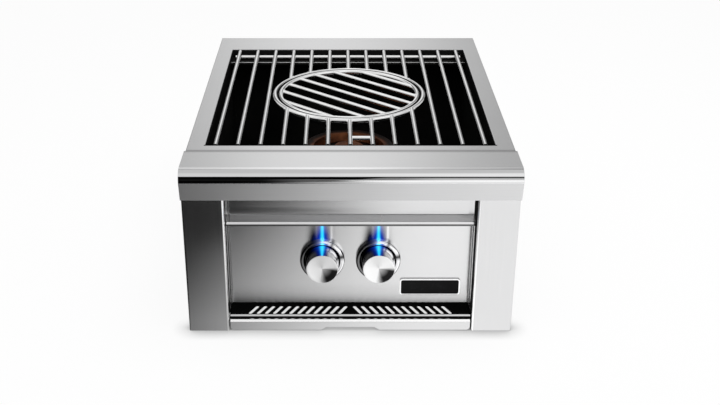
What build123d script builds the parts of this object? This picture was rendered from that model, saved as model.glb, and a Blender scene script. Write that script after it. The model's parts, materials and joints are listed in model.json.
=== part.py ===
from build123d import *
import math
import os

# Built-in power burner for an outdoor kitchen, in millimetres.
# +Z is up, the front faces -Y, and the origin is on the floor under the middle of the outline.

# Overall sizes
overall_depth = 668
overall_height = 280
frame_width = 508
bullnose_overlap = 2
post_proud = 1
counter_overhang = 18

# Sheet, welds and clearances
sheet = 1.5
liner = 1.2
running_gap = 0.3
hole_gap = 0.2
edge_round = 1.2
bend_radius = 2.5

# Top frame
nose_overhang = 8
seam_setback = 70
seam_gap = 1
front_rail = 24
side_rail = 28
back_rail = 76
opening_flange = 13
outer_flange = 12
counter_return = 14
seam_flange = 22

# Bullnose
nose_radius = 18
nose_undercut_deg = 12
bullnose_height = 50
bullnose_return = 22

# Front posts
post_width = 63.4
post_bend = 3.2
post_outer_return = 18
post_inner_return = 50
post_rear_flange = 12

# Control panel, drip shelf and vent shelf
panel_setback = 39.5
panel_gap = 1.1
panel_flange = 20
panel_top_z = 262
drip_shelf_gap = 0.4
drip_shelf_z = 187.5
drip_shelf_reach = 23
drip_shelf_fall = 3.2
drip_shelf_hem = 1.3
drip_bevel = 5.8
drip_bevel_deg = 48
vent_shelf_gap = 2
vent_shelf_z = 27
vent_shelf_setback = 3
vent_shelf_tail = 22
vent_hem = 5.6
vent_hem_lean = 0.45
vent_bevel_run = 1.95
vent_bevel_fall = 2.3
vent_slot_count = 12
vent_slot_pitch = 12.86
vent_slot_first = 12
vent_slot_width = 6.1
vent_slot_reach = 21.3
vent_slot_deg = 62.5
vent_slot_setback = 20

# Drip tray
tray_gap = 2
tray_front_height = 17.8
tray_front_z = 2
tray_corner = 6
tray_notch_top = 76
tray_notch_bottom = 92
tray_notch_height = 5.3
tray_bevel_run = 2.9
tray_bevel_fall = 3.45
tray_lip = 17
tray_pan_inset = 2.4
tray_pan_setback = 96
tray_pan_length = 470
foot_flange = 56

# Firebox
firebox_bottom_z = 70
front_ledge = 25
rear_ledge = 37
ledge_roll_r = 2.5
hopper_drop = 30
hopper_mouth_x = 260
hopper_mouth_y = 220

# Grates
rod = 8
bar_rod = 7.8
grate_sink = 0.5
bar_count = 13
bar_side_gap = 14.8
bar_front_gap = 6.5
bar_back_gap = 2.5
cross_rod_setback = 14
cross_rod_gap = 7
weld_bite = 0.5
main_ring_r = 130
ring_weld_bite = 0.5
support_drop = 6.1
lift_rod = 7
lift_rod_setback = 42
lift_rod_drop = 1
centre_bar = 7
centre_bar_count = 7
centre_bar_pitch = 34.6
centre_bar_deg = -42

# Burner
burner_base_z = 138
burner_base_height = 22
burner_base_floor = 6
outer_burner_r = 72
outer_burner_width = 28
burner_wall = 5
inner_burner_r = 32
spoke_width = 14
spoke_height = 12
spoke_count = 3
cap_height = 16
cap_flange = 3
cap_slope = 6
cap_wall = 3
port_r = 1.3
outer_port_count = 40
inner_port_count = 16
bridge_width = 40
bridge_height = 12
bridge_sheet = 2
bridge_screw_r = 2.5
bridge_screw_head_r = 5
bridge_screw_head = 3.5
tube_r = 13
tube_wall = 1.2
tube_bend = 20
tube_mouth_ahead = 13
tube_swing_y = 88
base_inlet_r = 8

# Air shutters
shutter_wall = 1.5
shutter_length = 9.5
shutter_end_gap = 0.8
air_window = 5
air_window_width = 16

# Knobs, bezels and light guides
knob_x = 44
knob_z = 109
knob_setback = 4
knob_length = 30
knob_face_r = 23.8
knob_base_r = 25.2
knob_edge = 0.5
knob_dish = 2.6
knob_wall = 3
knob_cap = 8
knob_hub_r = 9
knob_hub_inset = 2
bezel_r = 35.3
bezel_bore_r = 27.5
bezel_height = 9.5
bezel_round = 3.8
guide_width = 5
guide_height = 4
guide_inside = 1.2
guide_outside = 1.8

# Gas valves and stems
stem_r = 4
stem_reach = 10
stem_flat = 1
stem_bore_gap = 0.05
push_travel = 3
neck_r = 12
neck_length = 7
valve_size = 28
valve_length = 24
chamber_r = 9
chamber_length = 17
chamber_wall = 1.2
collar_r = 6
collar_length = 1
washer_length = 1.2
washer_r = 8.6
spring_wire_r = 0.7
spring_r = 6.5
spring_turns = 4
panel_hole_r = 10
spud_hex = 12
spud_length = 7
spud_tip_r = 4
spud_tip = 4
spud_jet_r = 0.9

# Gas supply
manifold_r = 10.5
manifold_wall = 2.5
manifold_left = -76
manifold_right = 110
nipple_r = 6
nipple_depth = 5
supply_r = 6.35
supply_wall = 1.2
supply_bend = 20
supply_inset = 36
supply_z = 40
inlet_collar_r = 13
inlet_collar = 16
inlet_neck_r = 9
inlet_neck = 0.5
inlet_thread_r = 7.94
inlet_thread = 13.5
inlet_bore_r = 4

# Ignition and power
igniter_gap = 18
igniter_r = 4.5
igniter_body = 24
igniter_blade = 12
igniter_blade_width = 5
igniter_blade_thick = 1.6
igniter_bracket_width = 18
igniter_bracket_length = 26
module_width = 80
module_height = 40
module_depth = 21
module_inset = 15.5
module_round = 3
socket_z = 60
socket_flange_r = 9
socket_flange = 2
socket_body_r = 6
socket_body = 12
socket_bore_r = 2.8
socket_bore = 9

# Badge
badge_width = 96
badge_height = 29
badge_margin = 15.5
badge_z = 59
badge_thick = 3
badge_rim = 2
badge_recess = 0.8
badge_corner = 5

# Rear panel and fasteners
rear_inset = 16.5
rear_flange = 18
rear_vent_rows = 3
rear_vent_columns = 4
rear_vent_length = 70
rear_vent_width = 8
rear_vent_pitch_x = 100
rear_vent_pitch_z = 22
rear_vent_z = 200
screw_r = 2
screw_head_r = 3.8
screw_head = 2.2
screw_reach = 6
rear_screw_low = 40
rear_screw_middle = 140
rear_screw_high = 240
seam_bolt_r = 2.5
seam_bolt_head_r = 4.6
seam_bolt_head = 3.5
seam_bolt_inset = 36
seam_bolt_inner_x = 70
seam_bolt_drop = 14

# Places that follow from the sizes
bullnose_width = frame_width + 2 * bullnose_overlap
post_span = frame_width + 2 * post_proud
body_width = frame_width - 2 * counter_overhang
nose_y = -overall_depth / 2
back_y = overall_depth / 2
post_y = nose_y + nose_overhang
seam_y = post_y + seam_setback
frame_front_y = seam_y + seam_gap
opening_front_y = seam_y + front_rail
opening_back_y = back_y - back_rail
opening_half = frame_width / 2 - side_rail
opening_depth = opening_back_y - opening_front_y
grate_y = (opening_front_y + opening_back_y) / 2
top_under_z = overall_height - sheet
bullnose_z = overall_height - bullnose_height
body_half = body_width / 2
body_inner = body_half - sheet
body_back_y = back_y - rear_inset
panel_y = post_y + panel_setback
panel_back_y = panel_y + sheet
post_inner_x = post_span / 2 - post_width
post_flange_y = post_y + post_inner_return
panel_width = 2 * (post_inner_x - panel_gap)
panel_flange_x = post_inner_x - post_bend
drip_shelf_width = 2 * (post_inner_x - drip_shelf_gap)
vent_shelf_width = 2 * (post_inner_x - vent_shelf_gap)
tray_front_width = 2 * (post_inner_x - tray_gap)
tray_pan_width = tray_front_width - 2 * tray_pan_inset
firebox_half = opening_half + sheet + running_gap
firebox_front_y = opening_front_y - sheet - running_gap
firebox_back_y = opening_back_y + sheet + running_gap
bar_pitch = 2 * (opening_half - bar_side_gap) / (bar_count - 1)
cross_rod_length = 2 * (opening_half - cross_rod_gap)
rod_z = overall_height - grate_sink - rod / 2
cross_rod_z = rod_z - (bar_rod + rod) / 2 + weld_bite
ledge_z = cross_rod_z - rod / 2 - running_gap
cap_z = burner_base_z + burner_base_height
knob_face_y = post_y + knob_setback
knob_back_y = knob_face_y + knob_length
stem_front_y = knob_face_y + stem_reach
valve_y = panel_back_y + neck_length
valve_back_y = valve_y + valve_length
chamber_y = panel_back_y + chamber_wall
chamber_back_y = chamber_y + chamber_length
collar_y = chamber_y + running_gap
washer_y = collar_y + collar_length + running_gap
spring_y = washer_y + washer_length + hole_gap
stem_back_y = chamber_back_y + push_travel
stem_bore_end_y = stem_back_y + push_travel + running_gap
manifold_y = valve_y + valve_length / 2
manifold_z = knob_z - valve_size / 2 - manifold_r
tube_mouth_y = firebox_front_y - liner - tube_mouth_ahead
outer_inlet_y = grate_y - math.sqrt(outer_burner_r ** 2 - knob_x ** 2)
igniter_x = outer_burner_r + outer_burner_width / 2 + igniter_gap
inlet_collar_y = body_back_y - sheet - inlet_collar
supply_x = body_half - supply_inset
socket_x = -supply_x
module_x = -panel_width / 2 + module_inset + module_width / 2
badge_x = panel_width / 2 - badge_margin - badge_width / 2
seam_bolt_outer_x = body_half - seam_bolt_inset
seam_bolt_xs = (-seam_bolt_outer_x, -seam_bolt_inner_x, seam_bolt_inner_x, seam_bolt_outer_x)
rear_screw_levels = (rear_screw_low, rear_screw_middle, rear_screw_high)


def plate(x0, x1, y0, y1, z0, z1, mode=Mode.ADD):
    """Flat piece between two limits on each axis."""
    with Locations(((x0 + x1) / 2, (y0 + y1) / 2, (z0 + z1) / 2)):
        Box(abs(x1 - x0), abs(y1 - y0), abs(z1 - z0), mode=mode)


def bar_x(y, z, radius, x0, x1, mode=Mode.ADD):
    """Round bar along X."""
    with Locations(Location(((x0 + x1) / 2, y, z), (0, 90, 0))):
        Cylinder(radius, abs(x1 - x0), mode=mode)


def bar_y(x, z, radius, y0, y1, mode=Mode.ADD):
    """Round bar along Y."""
    with Locations(Location((x, (y0 + y1) / 2, z), (90, 0, 0))):
        Cylinder(radius, abs(y1 - y0), mode=mode)


def bar_z(x, y, radius, z0, z1, mode=Mode.ADD):
    """Round bar along Z."""
    with Locations((x, y, (z0 + z1) / 2)):
        Cylinder(radius, abs(z1 - z0), mode=mode)


def front_plane(y):
    """Upright plane at y that faces the front: its own x is X and its own y is Z."""
    return Plane.XZ.offset(-y)


def turning_plane(x, z):
    """Plane through a shaft along Y: its own x is Y and its own y is the distance from the shaft."""
    return Plane(origin=(x, 0, z), x_dir=(0, 1, 0), z_dir=(1, 0, 0))


knob_axis = Axis((knob_x, 0, knob_z), (0, 1, 0))
burner_axis = Axis((0, grate_y, 0), (0, 0, 1))
burner_plane = Plane(origin=(0, grate_y, 0), x_dir=(1, 0, 0), z_dir=(0, -1, 0))

# Top frame: a flat sheet with flanges round its opening and round its outer edge
with BuildPart() as top_frame:
    with BuildSketch(Plane.XY.offset(top_under_z)):
        with Locations((0, (frame_front_y + back_y) / 2)):
            Rectangle(frame_width, back_y - frame_front_y)
        with Locations((0, grate_y)):
            Rectangle(2 * opening_half, opening_depth, mode=Mode.SUBTRACT)
    extrude(amount=sheet)
    with BuildSketch(Plane.XY.offset(overall_height - opening_flange)):
        with Locations((0, grate_y)):
            Rectangle(2 * (opening_half + sheet), opening_depth + 2 * sheet)
            Rectangle(2 * opening_half, opening_depth, mode=Mode.SUBTRACT)
    extrude(amount=opening_flange)
    flange_z = overall_height - outer_flange
    frame_half = frame_width / 2
    for side in (-1, 1):
        plate(side * (frame_half - sheet), side * frame_half, frame_front_y, back_y,
              flange_z, overall_height)
        plate(side * (frame_half - counter_return), side * frame_half, frame_front_y, back_y,
              flange_z, flange_z + sheet)
    plate(-frame_half, frame_half, back_y - sheet, back_y, flange_z, overall_height)
    plate(-frame_half, frame_half, back_y - counter_return, back_y, flange_z, flange_z + sheet)
    plate(-body_inner + sheet, body_inner - sheet, frame_front_y, frame_front_y + sheet,
          overall_height - seam_flange, overall_height)
    fillet(top_frame.edges().group_by(Axis.Z)[-1], radius=edge_round)
    for x in seam_bolt_xs:
        bar_y(x, overall_height - seam_bolt_drop, seam_bolt_r + hole_gap,
              frame_front_y, frame_front_y + sheet, mode=Mode.SUBTRACT)

# Bullnose: a rolled nose of sheet with closed ends
nose_centre = (nose_y + nose_radius, overall_height - nose_radius)
undercut = math.radians(nose_undercut_deg)
nose_end_y = nose_centre[0] - nose_radius * math.cos(undercut)
nose_end_z = nose_centre[1] - nose_radius * math.sin(undercut)
nose_bottom_y = nose_end_y + (nose_end_z - bullnose_z) * math.tan(undercut)
with BuildPart() as bullnose:
    with BuildSketch(Plane.YZ.offset(-bullnose_width / 2)):
        with BuildLine():
            Line((seam_y, overall_height), (nose_centre[0], overall_height))
            CenterArc(nose_centre, nose_radius, 90, 90 + nose_undercut_deg)
            Line((nose_end_y, nose_end_z), (nose_bottom_y, bullnose_z))
            Line((nose_bottom_y, bullnose_z), (nose_bottom_y + bullnose_return, bullnose_z))
            offset(amount=sheet, side=Side.LEFT, kind=Kind.INTERSECTION)
        make_face()
    extrude(amount=bullnose_width)
    for end_x in (-bullnose_width / 2, bullnose_width / 2 - sheet):
        with BuildSketch(Plane.YZ.offset(end_x)):
            with BuildLine():
                Line((seam_y, overall_height), (nose_centre[0], overall_height))
                CenterArc(nose_centre, nose_radius, 90, 90 + nose_undercut_deg)
                Polyline((nose_end_y, nose_end_z), (nose_bottom_y, bullnose_z),
                         (nose_bottom_y + bullnose_return, bullnose_z),
                         (seam_y, overall_height - seam_flange), (seam_y, overall_height))
            make_face()
        extrude(amount=sheet)
    plate(-body_inner + sheet, body_inner - sheet, seam_y - sheet, seam_y,
          overall_height - seam_flange, overall_height)
    for x in seam_bolt_xs:
        bar_y(x, overall_height - seam_bolt_drop, seam_bolt_r + hole_gap,
              seam_y - sheet, seam_y, mode=Mode.SUBTRACT)

# Front posts: channels of bent sheet that face the front
with BuildPart() as right_post:
    with BuildSketch(Plane.XY):
        with BuildLine():
            FilletPolyline(
                (post_span / 2, post_y + post_outer_return),
                (post_span / 2, post_y),
                (post_inner_x, post_y),
                (post_inner_x, post_flange_y),
                (post_inner_x - post_rear_flange, post_flange_y),
                radius=post_bend,
            )
            offset(amount=sheet, side=Side.RIGHT)
        make_face()
    extrude(amount=bullnose_z)
    # The rear flange starts above the vent shelf, so that the tray and the shelf pass
    plate(post_inner_x - post_rear_flange, post_inner_x + 2 * sheet, post_flange_y - post_bend,
          post_flange_y + 2 * sheet, 0, vent_shelf_z + sheet + bend_radius, mode=Mode.SUBTRACT)
with BuildPart() as left_post:
    mirror(right_post.part, about=Plane.YZ)

# Side panels: walls that carry the frame, with a foot flange that the tray slides on
with BuildPart() as right_side_panel:
    with BuildSketch(Plane.YZ.offset(body_inner)):
        with BuildLine():
            Polyline(
                (post_y + sheet, 0),
                (body_back_y, 0),
                (body_back_y, top_under_z),
                (nose_bottom_y + bullnose_return + sheet, top_under_z),
                (nose_bottom_y + bullnose_return + sheet, bullnose_z),
                (post_y + sheet, bullnose_z),
                close=True,
            )
        make_face()
    extrude(amount=sheet)
    plate(body_half - foot_flange, body_half, post_flange_y + 2 * sheet, body_back_y, 0, sheet)
    plate(post_inner_x + post_bend + 2 * sheet, body_half, post_y + sheet, post_y + 2 * sheet, 0, bullnose_z)
    for z in rear_screw_levels:
        bar_x(body_back_y - sheet - rear_flange / 2, z, screw_r + hole_gap, body_inner, body_half,
              mode=Mode.SUBTRACT)
with BuildPart() as left_side_panel:
    mirror(right_side_panel.part, about=Plane.YZ)

# Rear panel: a vented plate with flanges screwed between the side panels
with BuildPart() as rear_panel:
    plate(-body_inner, body_inner, body_back_y - sheet, body_back_y, sheet, top_under_z)
    for side in (-1, 1):
        plate(side * (body_inner - sheet), side * body_inner, body_back_y - sheet - rear_flange, body_back_y,
              sheet, top_under_z)
        for z in rear_screw_levels:
            bar_x(body_back_y - sheet - rear_flange / 2, z, screw_r + hole_gap,
                  side * (body_inner - sheet), side * body_inner, mode=Mode.SUBTRACT)
    with BuildSketch(front_plane(body_back_y)):
        with Locations((0, rear_vent_z)):
            with GridLocations(rear_vent_pitch_x, rear_vent_pitch_z, rear_vent_columns, rear_vent_rows):
                SlotOverall(rear_vent_length, rear_vent_width)
        with Locations((supply_x, supply_z)):
            Circle(inlet_neck_r + hole_gap)
        with Locations((socket_x, socket_z)):
            Circle(socket_body_r + hole_gap)
    extrude(amount=sheet, mode=Mode.SUBTRACT)

# Drip shelf: a strip on the panel, folded forward over the knobs with a bevelled front edge
drip_shelf_y = panel_y - sheet
drip_front_y = drip_shelf_y - drip_shelf_reach
drip_bevel_run = drip_bevel * math.cos(math.radians(drip_bevel_deg))
drip_bevel_fall = drip_bevel * math.sin(math.radians(drip_bevel_deg))
drip_edge_z = drip_shelf_z - drip_shelf_fall
with BuildPart() as drip_shelf:
    with BuildSketch(Plane.YZ.offset(-drip_shelf_width / 2)):
        with BuildLine():
            FilletPolyline(
                (drip_shelf_y, panel_top_z),
                (drip_shelf_y, drip_shelf_z),
                (drip_front_y + drip_bevel_run, drip_edge_z),
                (drip_front_y, drip_edge_z - drip_bevel_fall),
                (drip_front_y, drip_edge_z - drip_bevel_fall - drip_shelf_hem),
                radius=bend_radius - edge_round,
            )
            offset(amount=sheet, side=Side.LEFT)
        make_face()
    extrude(amount=drip_shelf_width)

# Control panel: a face with a bottom flange and side flanges, and a hole for each valve
with BuildPart() as control_panel:
    with BuildSketch(Plane.YZ.offset(-panel_width / 2)):
        with BuildLine():
            FilletPolyline(
                (panel_y, panel_top_z),
                (panel_y, vent_shelf_z),
                (panel_y + panel_flange, vent_shelf_z),
                radius=bend_radius,
            )
            offset(amount=sheet, side=Side.LEFT)
        make_face()
    extrude(amount=panel_width)
    for side in (-1, 1):
        plate(side * (panel_flange_x - sheet), side * panel_flange_x, panel_y + sheet / 2, post_flange_y,
              vent_shelf_z + bend_radius, panel_top_z)
    for side in (-1, 1):
        bar_y(side * knob_x, knob_z, panel_hole_r, panel_y, panel_back_y, mode=Mode.SUBTRACT)

# Vent shelf: a slotted shelf under the panel, carried between the side panels behind the posts
vent_front_y = post_y + vent_shelf_setback
vent_edge_y = vent_front_y + vent_hem_lean + vent_bevel_run
vent_tail_y = post_flange_y + 2 * sheet
with BuildPart() as vent_shelf:
    plate(-vent_shelf_width / 2, vent_shelf_width / 2, vent_edge_y, vent_tail_y,
          vent_shelf_z - sheet, vent_shelf_z)
    plate(-body_inner, body_inner, vent_tail_y, vent_tail_y + vent_shelf_tail,
          vent_shelf_z - sheet, vent_shelf_z)
    with BuildSketch(Plane.YZ.offset(-vent_shelf_width / 2)):
        with BuildLine():
            Polyline(
                (vent_edge_y, vent_shelf_z),
                (vent_front_y + vent_hem_lean, vent_shelf_z - vent_bevel_fall),
                (vent_front_y, vent_shelf_z - vent_hem),
                (vent_edge_y, vent_shelf_z - vent_hem),
                close=True,
            )
        make_face()
    extrude(amount=vent_shelf_width)
    with BuildSketch(Plane.XY.offset(vent_shelf_z)):
        for side in (-1, 1):
            for number in range(vent_slot_count):
                slot_x = side * (vent_slot_first + number * vent_slot_pitch)
                with Locations((slot_x, post_y + vent_slot_setback)):
                    SlotCenterToCenter(vent_slot_reach, vent_slot_width, rotation=-side * vent_slot_deg)
    extrude(amount=-sheet, mode=Mode.SUBTRACT)

# Drip tray: a notched front with a bevelled top edge, and a shallow pan whose sides run on to the front
tray_top_z = tray_front_z + tray_front_height
tray_floor_z = sheet + running_gap
pan_front_y = post_y + tray_pan_setback
pan_back_y = pan_front_y + tray_pan_length
pan_half = tray_pan_width / 2
with BuildPart() as drip_tray:
    with BuildSketch(Plane.YZ.offset(-tray_front_width / 2)):
        with BuildLine():
            FilletPolyline(
                (post_y + tray_lip, tray_top_z),
                (post_y + tray_bevel_run, tray_top_z),
                (post_y, tray_top_z - tray_bevel_fall),
                (post_y, tray_front_z),
                radius=edge_round,
            )
            offset(amount=sheet, side=Side.LEFT)
        make_face()
    extrude(amount=tray_front_width)
    with BuildSketch(front_plane(post_y)) as tray_face:
        with Locations((0, tray_front_z + tray_front_height / 2)):
            Rectangle(tray_front_width, tray_front_height)
        fillet(tray_face.vertices().group_by(Axis.Y)[0], radius=tray_corner)
        with BuildLine():
            Polyline(
                (-tray_notch_bottom / 2, tray_front_z),
                (tray_notch_bottom / 2, tray_front_z),
                (tray_notch_top / 2, tray_front_z + tray_notch_height),
                (-tray_notch_top / 2, tray_front_z + tray_notch_height),
                close=True,
            )
        make_face(mode=Mode.SUBTRACT)
    extrude(amount=-tray_lip, mode=Mode.INTERSECT)
    plate(-pan_half, pan_half, pan_front_y, pan_back_y, tray_floor_z, tray_top_z)
    plate(-pan_half + liner, pan_half - liner, pan_front_y + liner, pan_back_y - liner,
          tray_floor_z + liner, tray_top_z, mode=Mode.SUBTRACT)
    for side in (-1, 1):
        plate(side * (pan_half - liner), side * pan_half, post_y + tray_bevel_run, pan_front_y + liner,
              tray_floor_z, tray_top_z)

# Firebox walls: four plates, with grate ledges on the front and rear ones whose edges are rolled
with BuildPart() as firebox_front_wall:
    plate(-firebox_half, firebox_half, firebox_front_y - liner, firebox_front_y,
          firebox_bottom_z, top_under_z)
    front_roll_y = opening_front_y + front_ledge - ledge_roll_r
    plate(-firebox_half, firebox_half, firebox_front_y, front_roll_y, ledge_z - liner, ledge_z)
    bar_x(front_roll_y, ledge_z - ledge_roll_r, ledge_roll_r, -firebox_half, firebox_half)
    for side in (-1, 1):
        bar_y(side * knob_x, knob_z, tube_r + running_gap, firebox_front_y - liner, firebox_front_y,
              mode=Mode.SUBTRACT)
with BuildPart() as firebox_rear_wall:
    plate(-firebox_half, firebox_half, firebox_back_y, firebox_back_y + liner, firebox_bottom_z, top_under_z)
    rear_roll_y = opening_back_y - rear_ledge + ledge_roll_r
    plate(-firebox_half, firebox_half, rear_roll_y, firebox_back_y, ledge_z - liner, ledge_z)
    bar_x(rear_roll_y, ledge_z - ledge_roll_r, ledge_roll_r, -firebox_half, firebox_half)
with BuildPart() as firebox_right_wall:
    plate(firebox_half, firebox_half + liner, firebox_front_y - liner, firebox_back_y + liner,
          firebox_bottom_z, top_under_z)
with BuildPart() as firebox_left_wall:
    mirror(firebox_right_wall.part, about=Plane.YZ)

# Hopper floor: four slopes of sheet that fall to a mouth over the tray
hopper_x = 2 * (firebox_half + liner)
hopper_y = firebox_back_y - firebox_front_y + 2 * liner
hopper_bottom_z = firebox_bottom_z - hopper_drop
with BuildPart() as hopper_floor:
    for lift, mode in ((0, Mode.ADD), (liner, Mode.SUBTRACT)):
        with BuildSketch(Plane.XY.offset(hopper_bottom_z + lift)):
            with Locations((0, grate_y)):
                Rectangle(hopper_mouth_x, hopper_mouth_y)
        with BuildSketch(Plane.XY.offset(firebox_bottom_z + lift)):
            with Locations((0, grate_y)):
                Rectangle(hopper_x, hopper_y)
        loft(mode=mode)
    plate(-hopper_mouth_x / 2, hopper_mouth_x / 2,
          grate_y - hopper_mouth_y / 2, grate_y + hopper_mouth_y / 2,
          hopper_bottom_z, firebox_bottom_z, mode=Mode.SUBTRACT)

# Main grate: rods welded to a ring, with a support ring under it and cross rods at both ends
bar_front_y = opening_front_y + bar_front_gap
bar_back_y = opening_back_y - bar_back_gap
support_ring_r = main_ring_r - math.sqrt((rod - ring_weld_bite) ** 2 - support_drop ** 2)
centre_ring_r = support_ring_r - math.sqrt((rod + running_gap) ** 2 - support_drop ** 2)
with BuildPart() as main_grate:
    with BuildSketch(front_plane(bar_front_y)):
        with Locations((0, rod_z)):
            with GridLocations(bar_pitch, bar_pitch, bar_count, 1):
                Circle(bar_rod / 2)
    extrude(amount=bar_front_y - bar_back_y)
    bar_z(0, grate_y, main_ring_r, rod_z - rod, rod_z + rod, mode=Mode.SUBTRACT)
    with Locations((0, grate_y, rod_z)):
        Torus(main_ring_r, rod / 2)
    with Locations((0, grate_y, rod_z - support_drop)):
        Torus(support_ring_r, rod / 2)
    for y in (opening_front_y + cross_rod_setback, opening_back_y - cross_rod_setback):
        bar_x(y, cross_rod_z, rod / 2, -cross_rod_length / 2, cross_rod_length / 2)
    bar_x(opening_front_y + lift_rod_setback, rod_z - lift_rod_drop, lift_rod / 2, 0, bar_pitch)

# Centre grate: a ring with slanted rods that rests on the support ring
slant = math.radians(centre_bar_deg)
slant_plane = Plane(
    origin=(0, grate_y, rod_z),
    x_dir=(-math.sin(slant), math.cos(slant), 0),
    z_dir=(math.cos(slant), math.sin(slant), 0),
)
with BuildPart() as centre_grate:
    with BuildSketch(slant_plane):
        with GridLocations(centre_bar_pitch, centre_bar_pitch, centre_bar_count, 1):
            Circle(centre_bar / 2)
    extrude(amount=centre_ring_r, both=True)
    bar_z(0, grate_y, centre_ring_r, rod_z - rod, rod_z + rod, mode=Mode.INTERSECT)
    with Locations((0, grate_y, rod_z)):
        Torus(centre_ring_r, rod / 2)

# Burner bridge: a channel across the firebox that carries the burner
bridge_top_z = burner_base_z
with BuildPart() as burner_bridge:
    plate(-firebox_half, firebox_half, grate_y - bridge_width / 2, grate_y + bridge_width / 2,
          bridge_top_z - bridge_sheet, bridge_top_z)
    for side in (-1, 1):
        edge_y = grate_y + side * bridge_width / 2
        plate(-firebox_half, firebox_half, edge_y - side * bridge_sheet, edge_y,
              bridge_top_z - bridge_height, bridge_top_z)
    bar_z(0, grate_y, tube_r + running_gap, bridge_top_z - bridge_height, bridge_top_z, mode=Mode.SUBTRACT)
    for side in (-1, 1):
        bar_z(side * outer_burner_r, grate_y, bridge_screw_r + hole_gap, bridge_top_z - bridge_sheet,
              bridge_top_z, mode=Mode.SUBTRACT)

# Burner base: a casting with an outer trough and an inner cup joined by spokes
ring_inner_r = outer_burner_r - outer_burner_width / 2
ring_outer_r = outer_burner_r + outer_burner_width / 2
spoke_mid_r = (inner_burner_r + ring_inner_r) / 2
spoke_length = ring_inner_r - inner_burner_r + burner_wall
trough_z = burner_base_z + burner_base_floor
with BuildPart() as burner_base:
    with BuildSketch(Plane.XY.offset(burner_base_z)):
        with Locations((0, grate_y)):
            Circle(ring_outer_r)
            Circle(ring_inner_r, mode=Mode.SUBTRACT)
            Circle(inner_burner_r)
    extrude(amount=burner_base_height)
    with BuildSketch(Plane.XY.offset(trough_z)):
        with Locations((0, grate_y)):
            Circle(ring_outer_r - burner_wall)
            Circle(ring_inner_r + burner_wall, mode=Mode.SUBTRACT)
            Circle(inner_burner_r - burner_wall)
    extrude(amount=burner_base_height, mode=Mode.SUBTRACT)
    with Locations((0, grate_y, burner_base_z + spoke_height / 2)):
        with PolarLocations(spoke_mid_r, spoke_count, start_angle=90):
            Box(spoke_length, spoke_width, spoke_height)
    bar_z(0, grate_y, base_inlet_r, burner_base_z, trough_z, mode=Mode.SUBTRACT)
    bar_z(-knob_x, outer_inlet_y, base_inlet_r, burner_base_z, trough_z, mode=Mode.SUBTRACT)
    for side in (-1, 1):
        bar_z(side * outer_burner_r, grate_y, bridge_screw_r + hole_gap, burner_base_z, trough_z,
              mode=Mode.SUBTRACT)

# Burner caps: hollow brass rings with a row of flame ports
port_z = cap_z + cap_height / 2
with BuildPart() as outer_burner_cap:
    with BuildSketch(burner_plane):
        with BuildLine():
            Polyline(
                (ring_inner_r, cap_z),
                (ring_outer_r, cap_z),
                (ring_outer_r, cap_z + cap_flange),
                (ring_outer_r - cap_slope, cap_z + cap_height),
                (ring_inner_r + cap_slope, cap_z + cap_height),
                (ring_inner_r, cap_z + cap_flange),
                close=True,
            )
        make_face()
        with BuildLine():
            Polyline(
                (ring_inner_r + burner_wall, cap_z),
                (ring_outer_r - burner_wall, cap_z),
                (ring_outer_r - cap_slope - cap_wall, cap_z + cap_height - cap_wall),
                (ring_inner_r + cap_slope + cap_wall, cap_z + cap_height - cap_wall),
                close=True,
            )
        make_face(mode=Mode.SUBTRACT)
    revolve(axis=burner_axis)
    with Locations((0, grate_y, port_z)):
        with PolarLocations(ring_outer_r - burner_wall, outer_port_count):
            Cylinder(port_r, 3 * burner_wall, rotation=(0, 90, 0), mode=Mode.SUBTRACT)
with BuildPart() as inner_burner_cap:
    with BuildSketch(burner_plane):
        with BuildLine():
            Polyline(
                (0, cap_z + cap_height - cap_wall),
                (0, cap_z + cap_height),
                (inner_burner_r - cap_slope, cap_z + cap_height),
                (inner_burner_r, cap_z + cap_flange),
                (inner_burner_r, cap_z),
                (inner_burner_r - burner_wall, cap_z),
                (inner_burner_r - cap_slope - cap_wall, cap_z + cap_height - cap_wall),
                close=True,
            )
        make_face()
    revolve(axis=burner_axis)
    with Locations((0, grate_y, port_z)):
        with PolarLocations(inner_burner_r - burner_wall, inner_port_count):
            Cylinder(port_r, 3 * burner_wall, rotation=(0, 90, 0), mode=Mode.SUBTRACT)

# Burner screws: hex heads under the bridge
with BuildPart() as burner_screws:
    for side in (-1, 1):
        bar_z(side * outer_burner_r, grate_y, bridge_screw_r, burner_base_z - bridge_sheet,
              trough_z - hole_gap)
        with BuildSketch(Plane.XY.offset(burner_base_z - bridge_sheet - bridge_screw_head)):
            with Locations((side * outer_burner_r, grate_y)):
                RegularPolygon(bridge_screw_head_r, 6)
        extrude(amount=bridge_screw_head)


def air_windows(x, radius):
    """Cut a pair of air windows, left and right, through a tube or sleeve at its mouth."""
    window_y = tube_mouth_y + shutter_end_gap + shutter_length / 2
    with Locations((x, window_y, knob_z)):
        Box(2 * radius + shutter_wall, air_window, air_window_width, mode=Mode.SUBTRACT)


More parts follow.
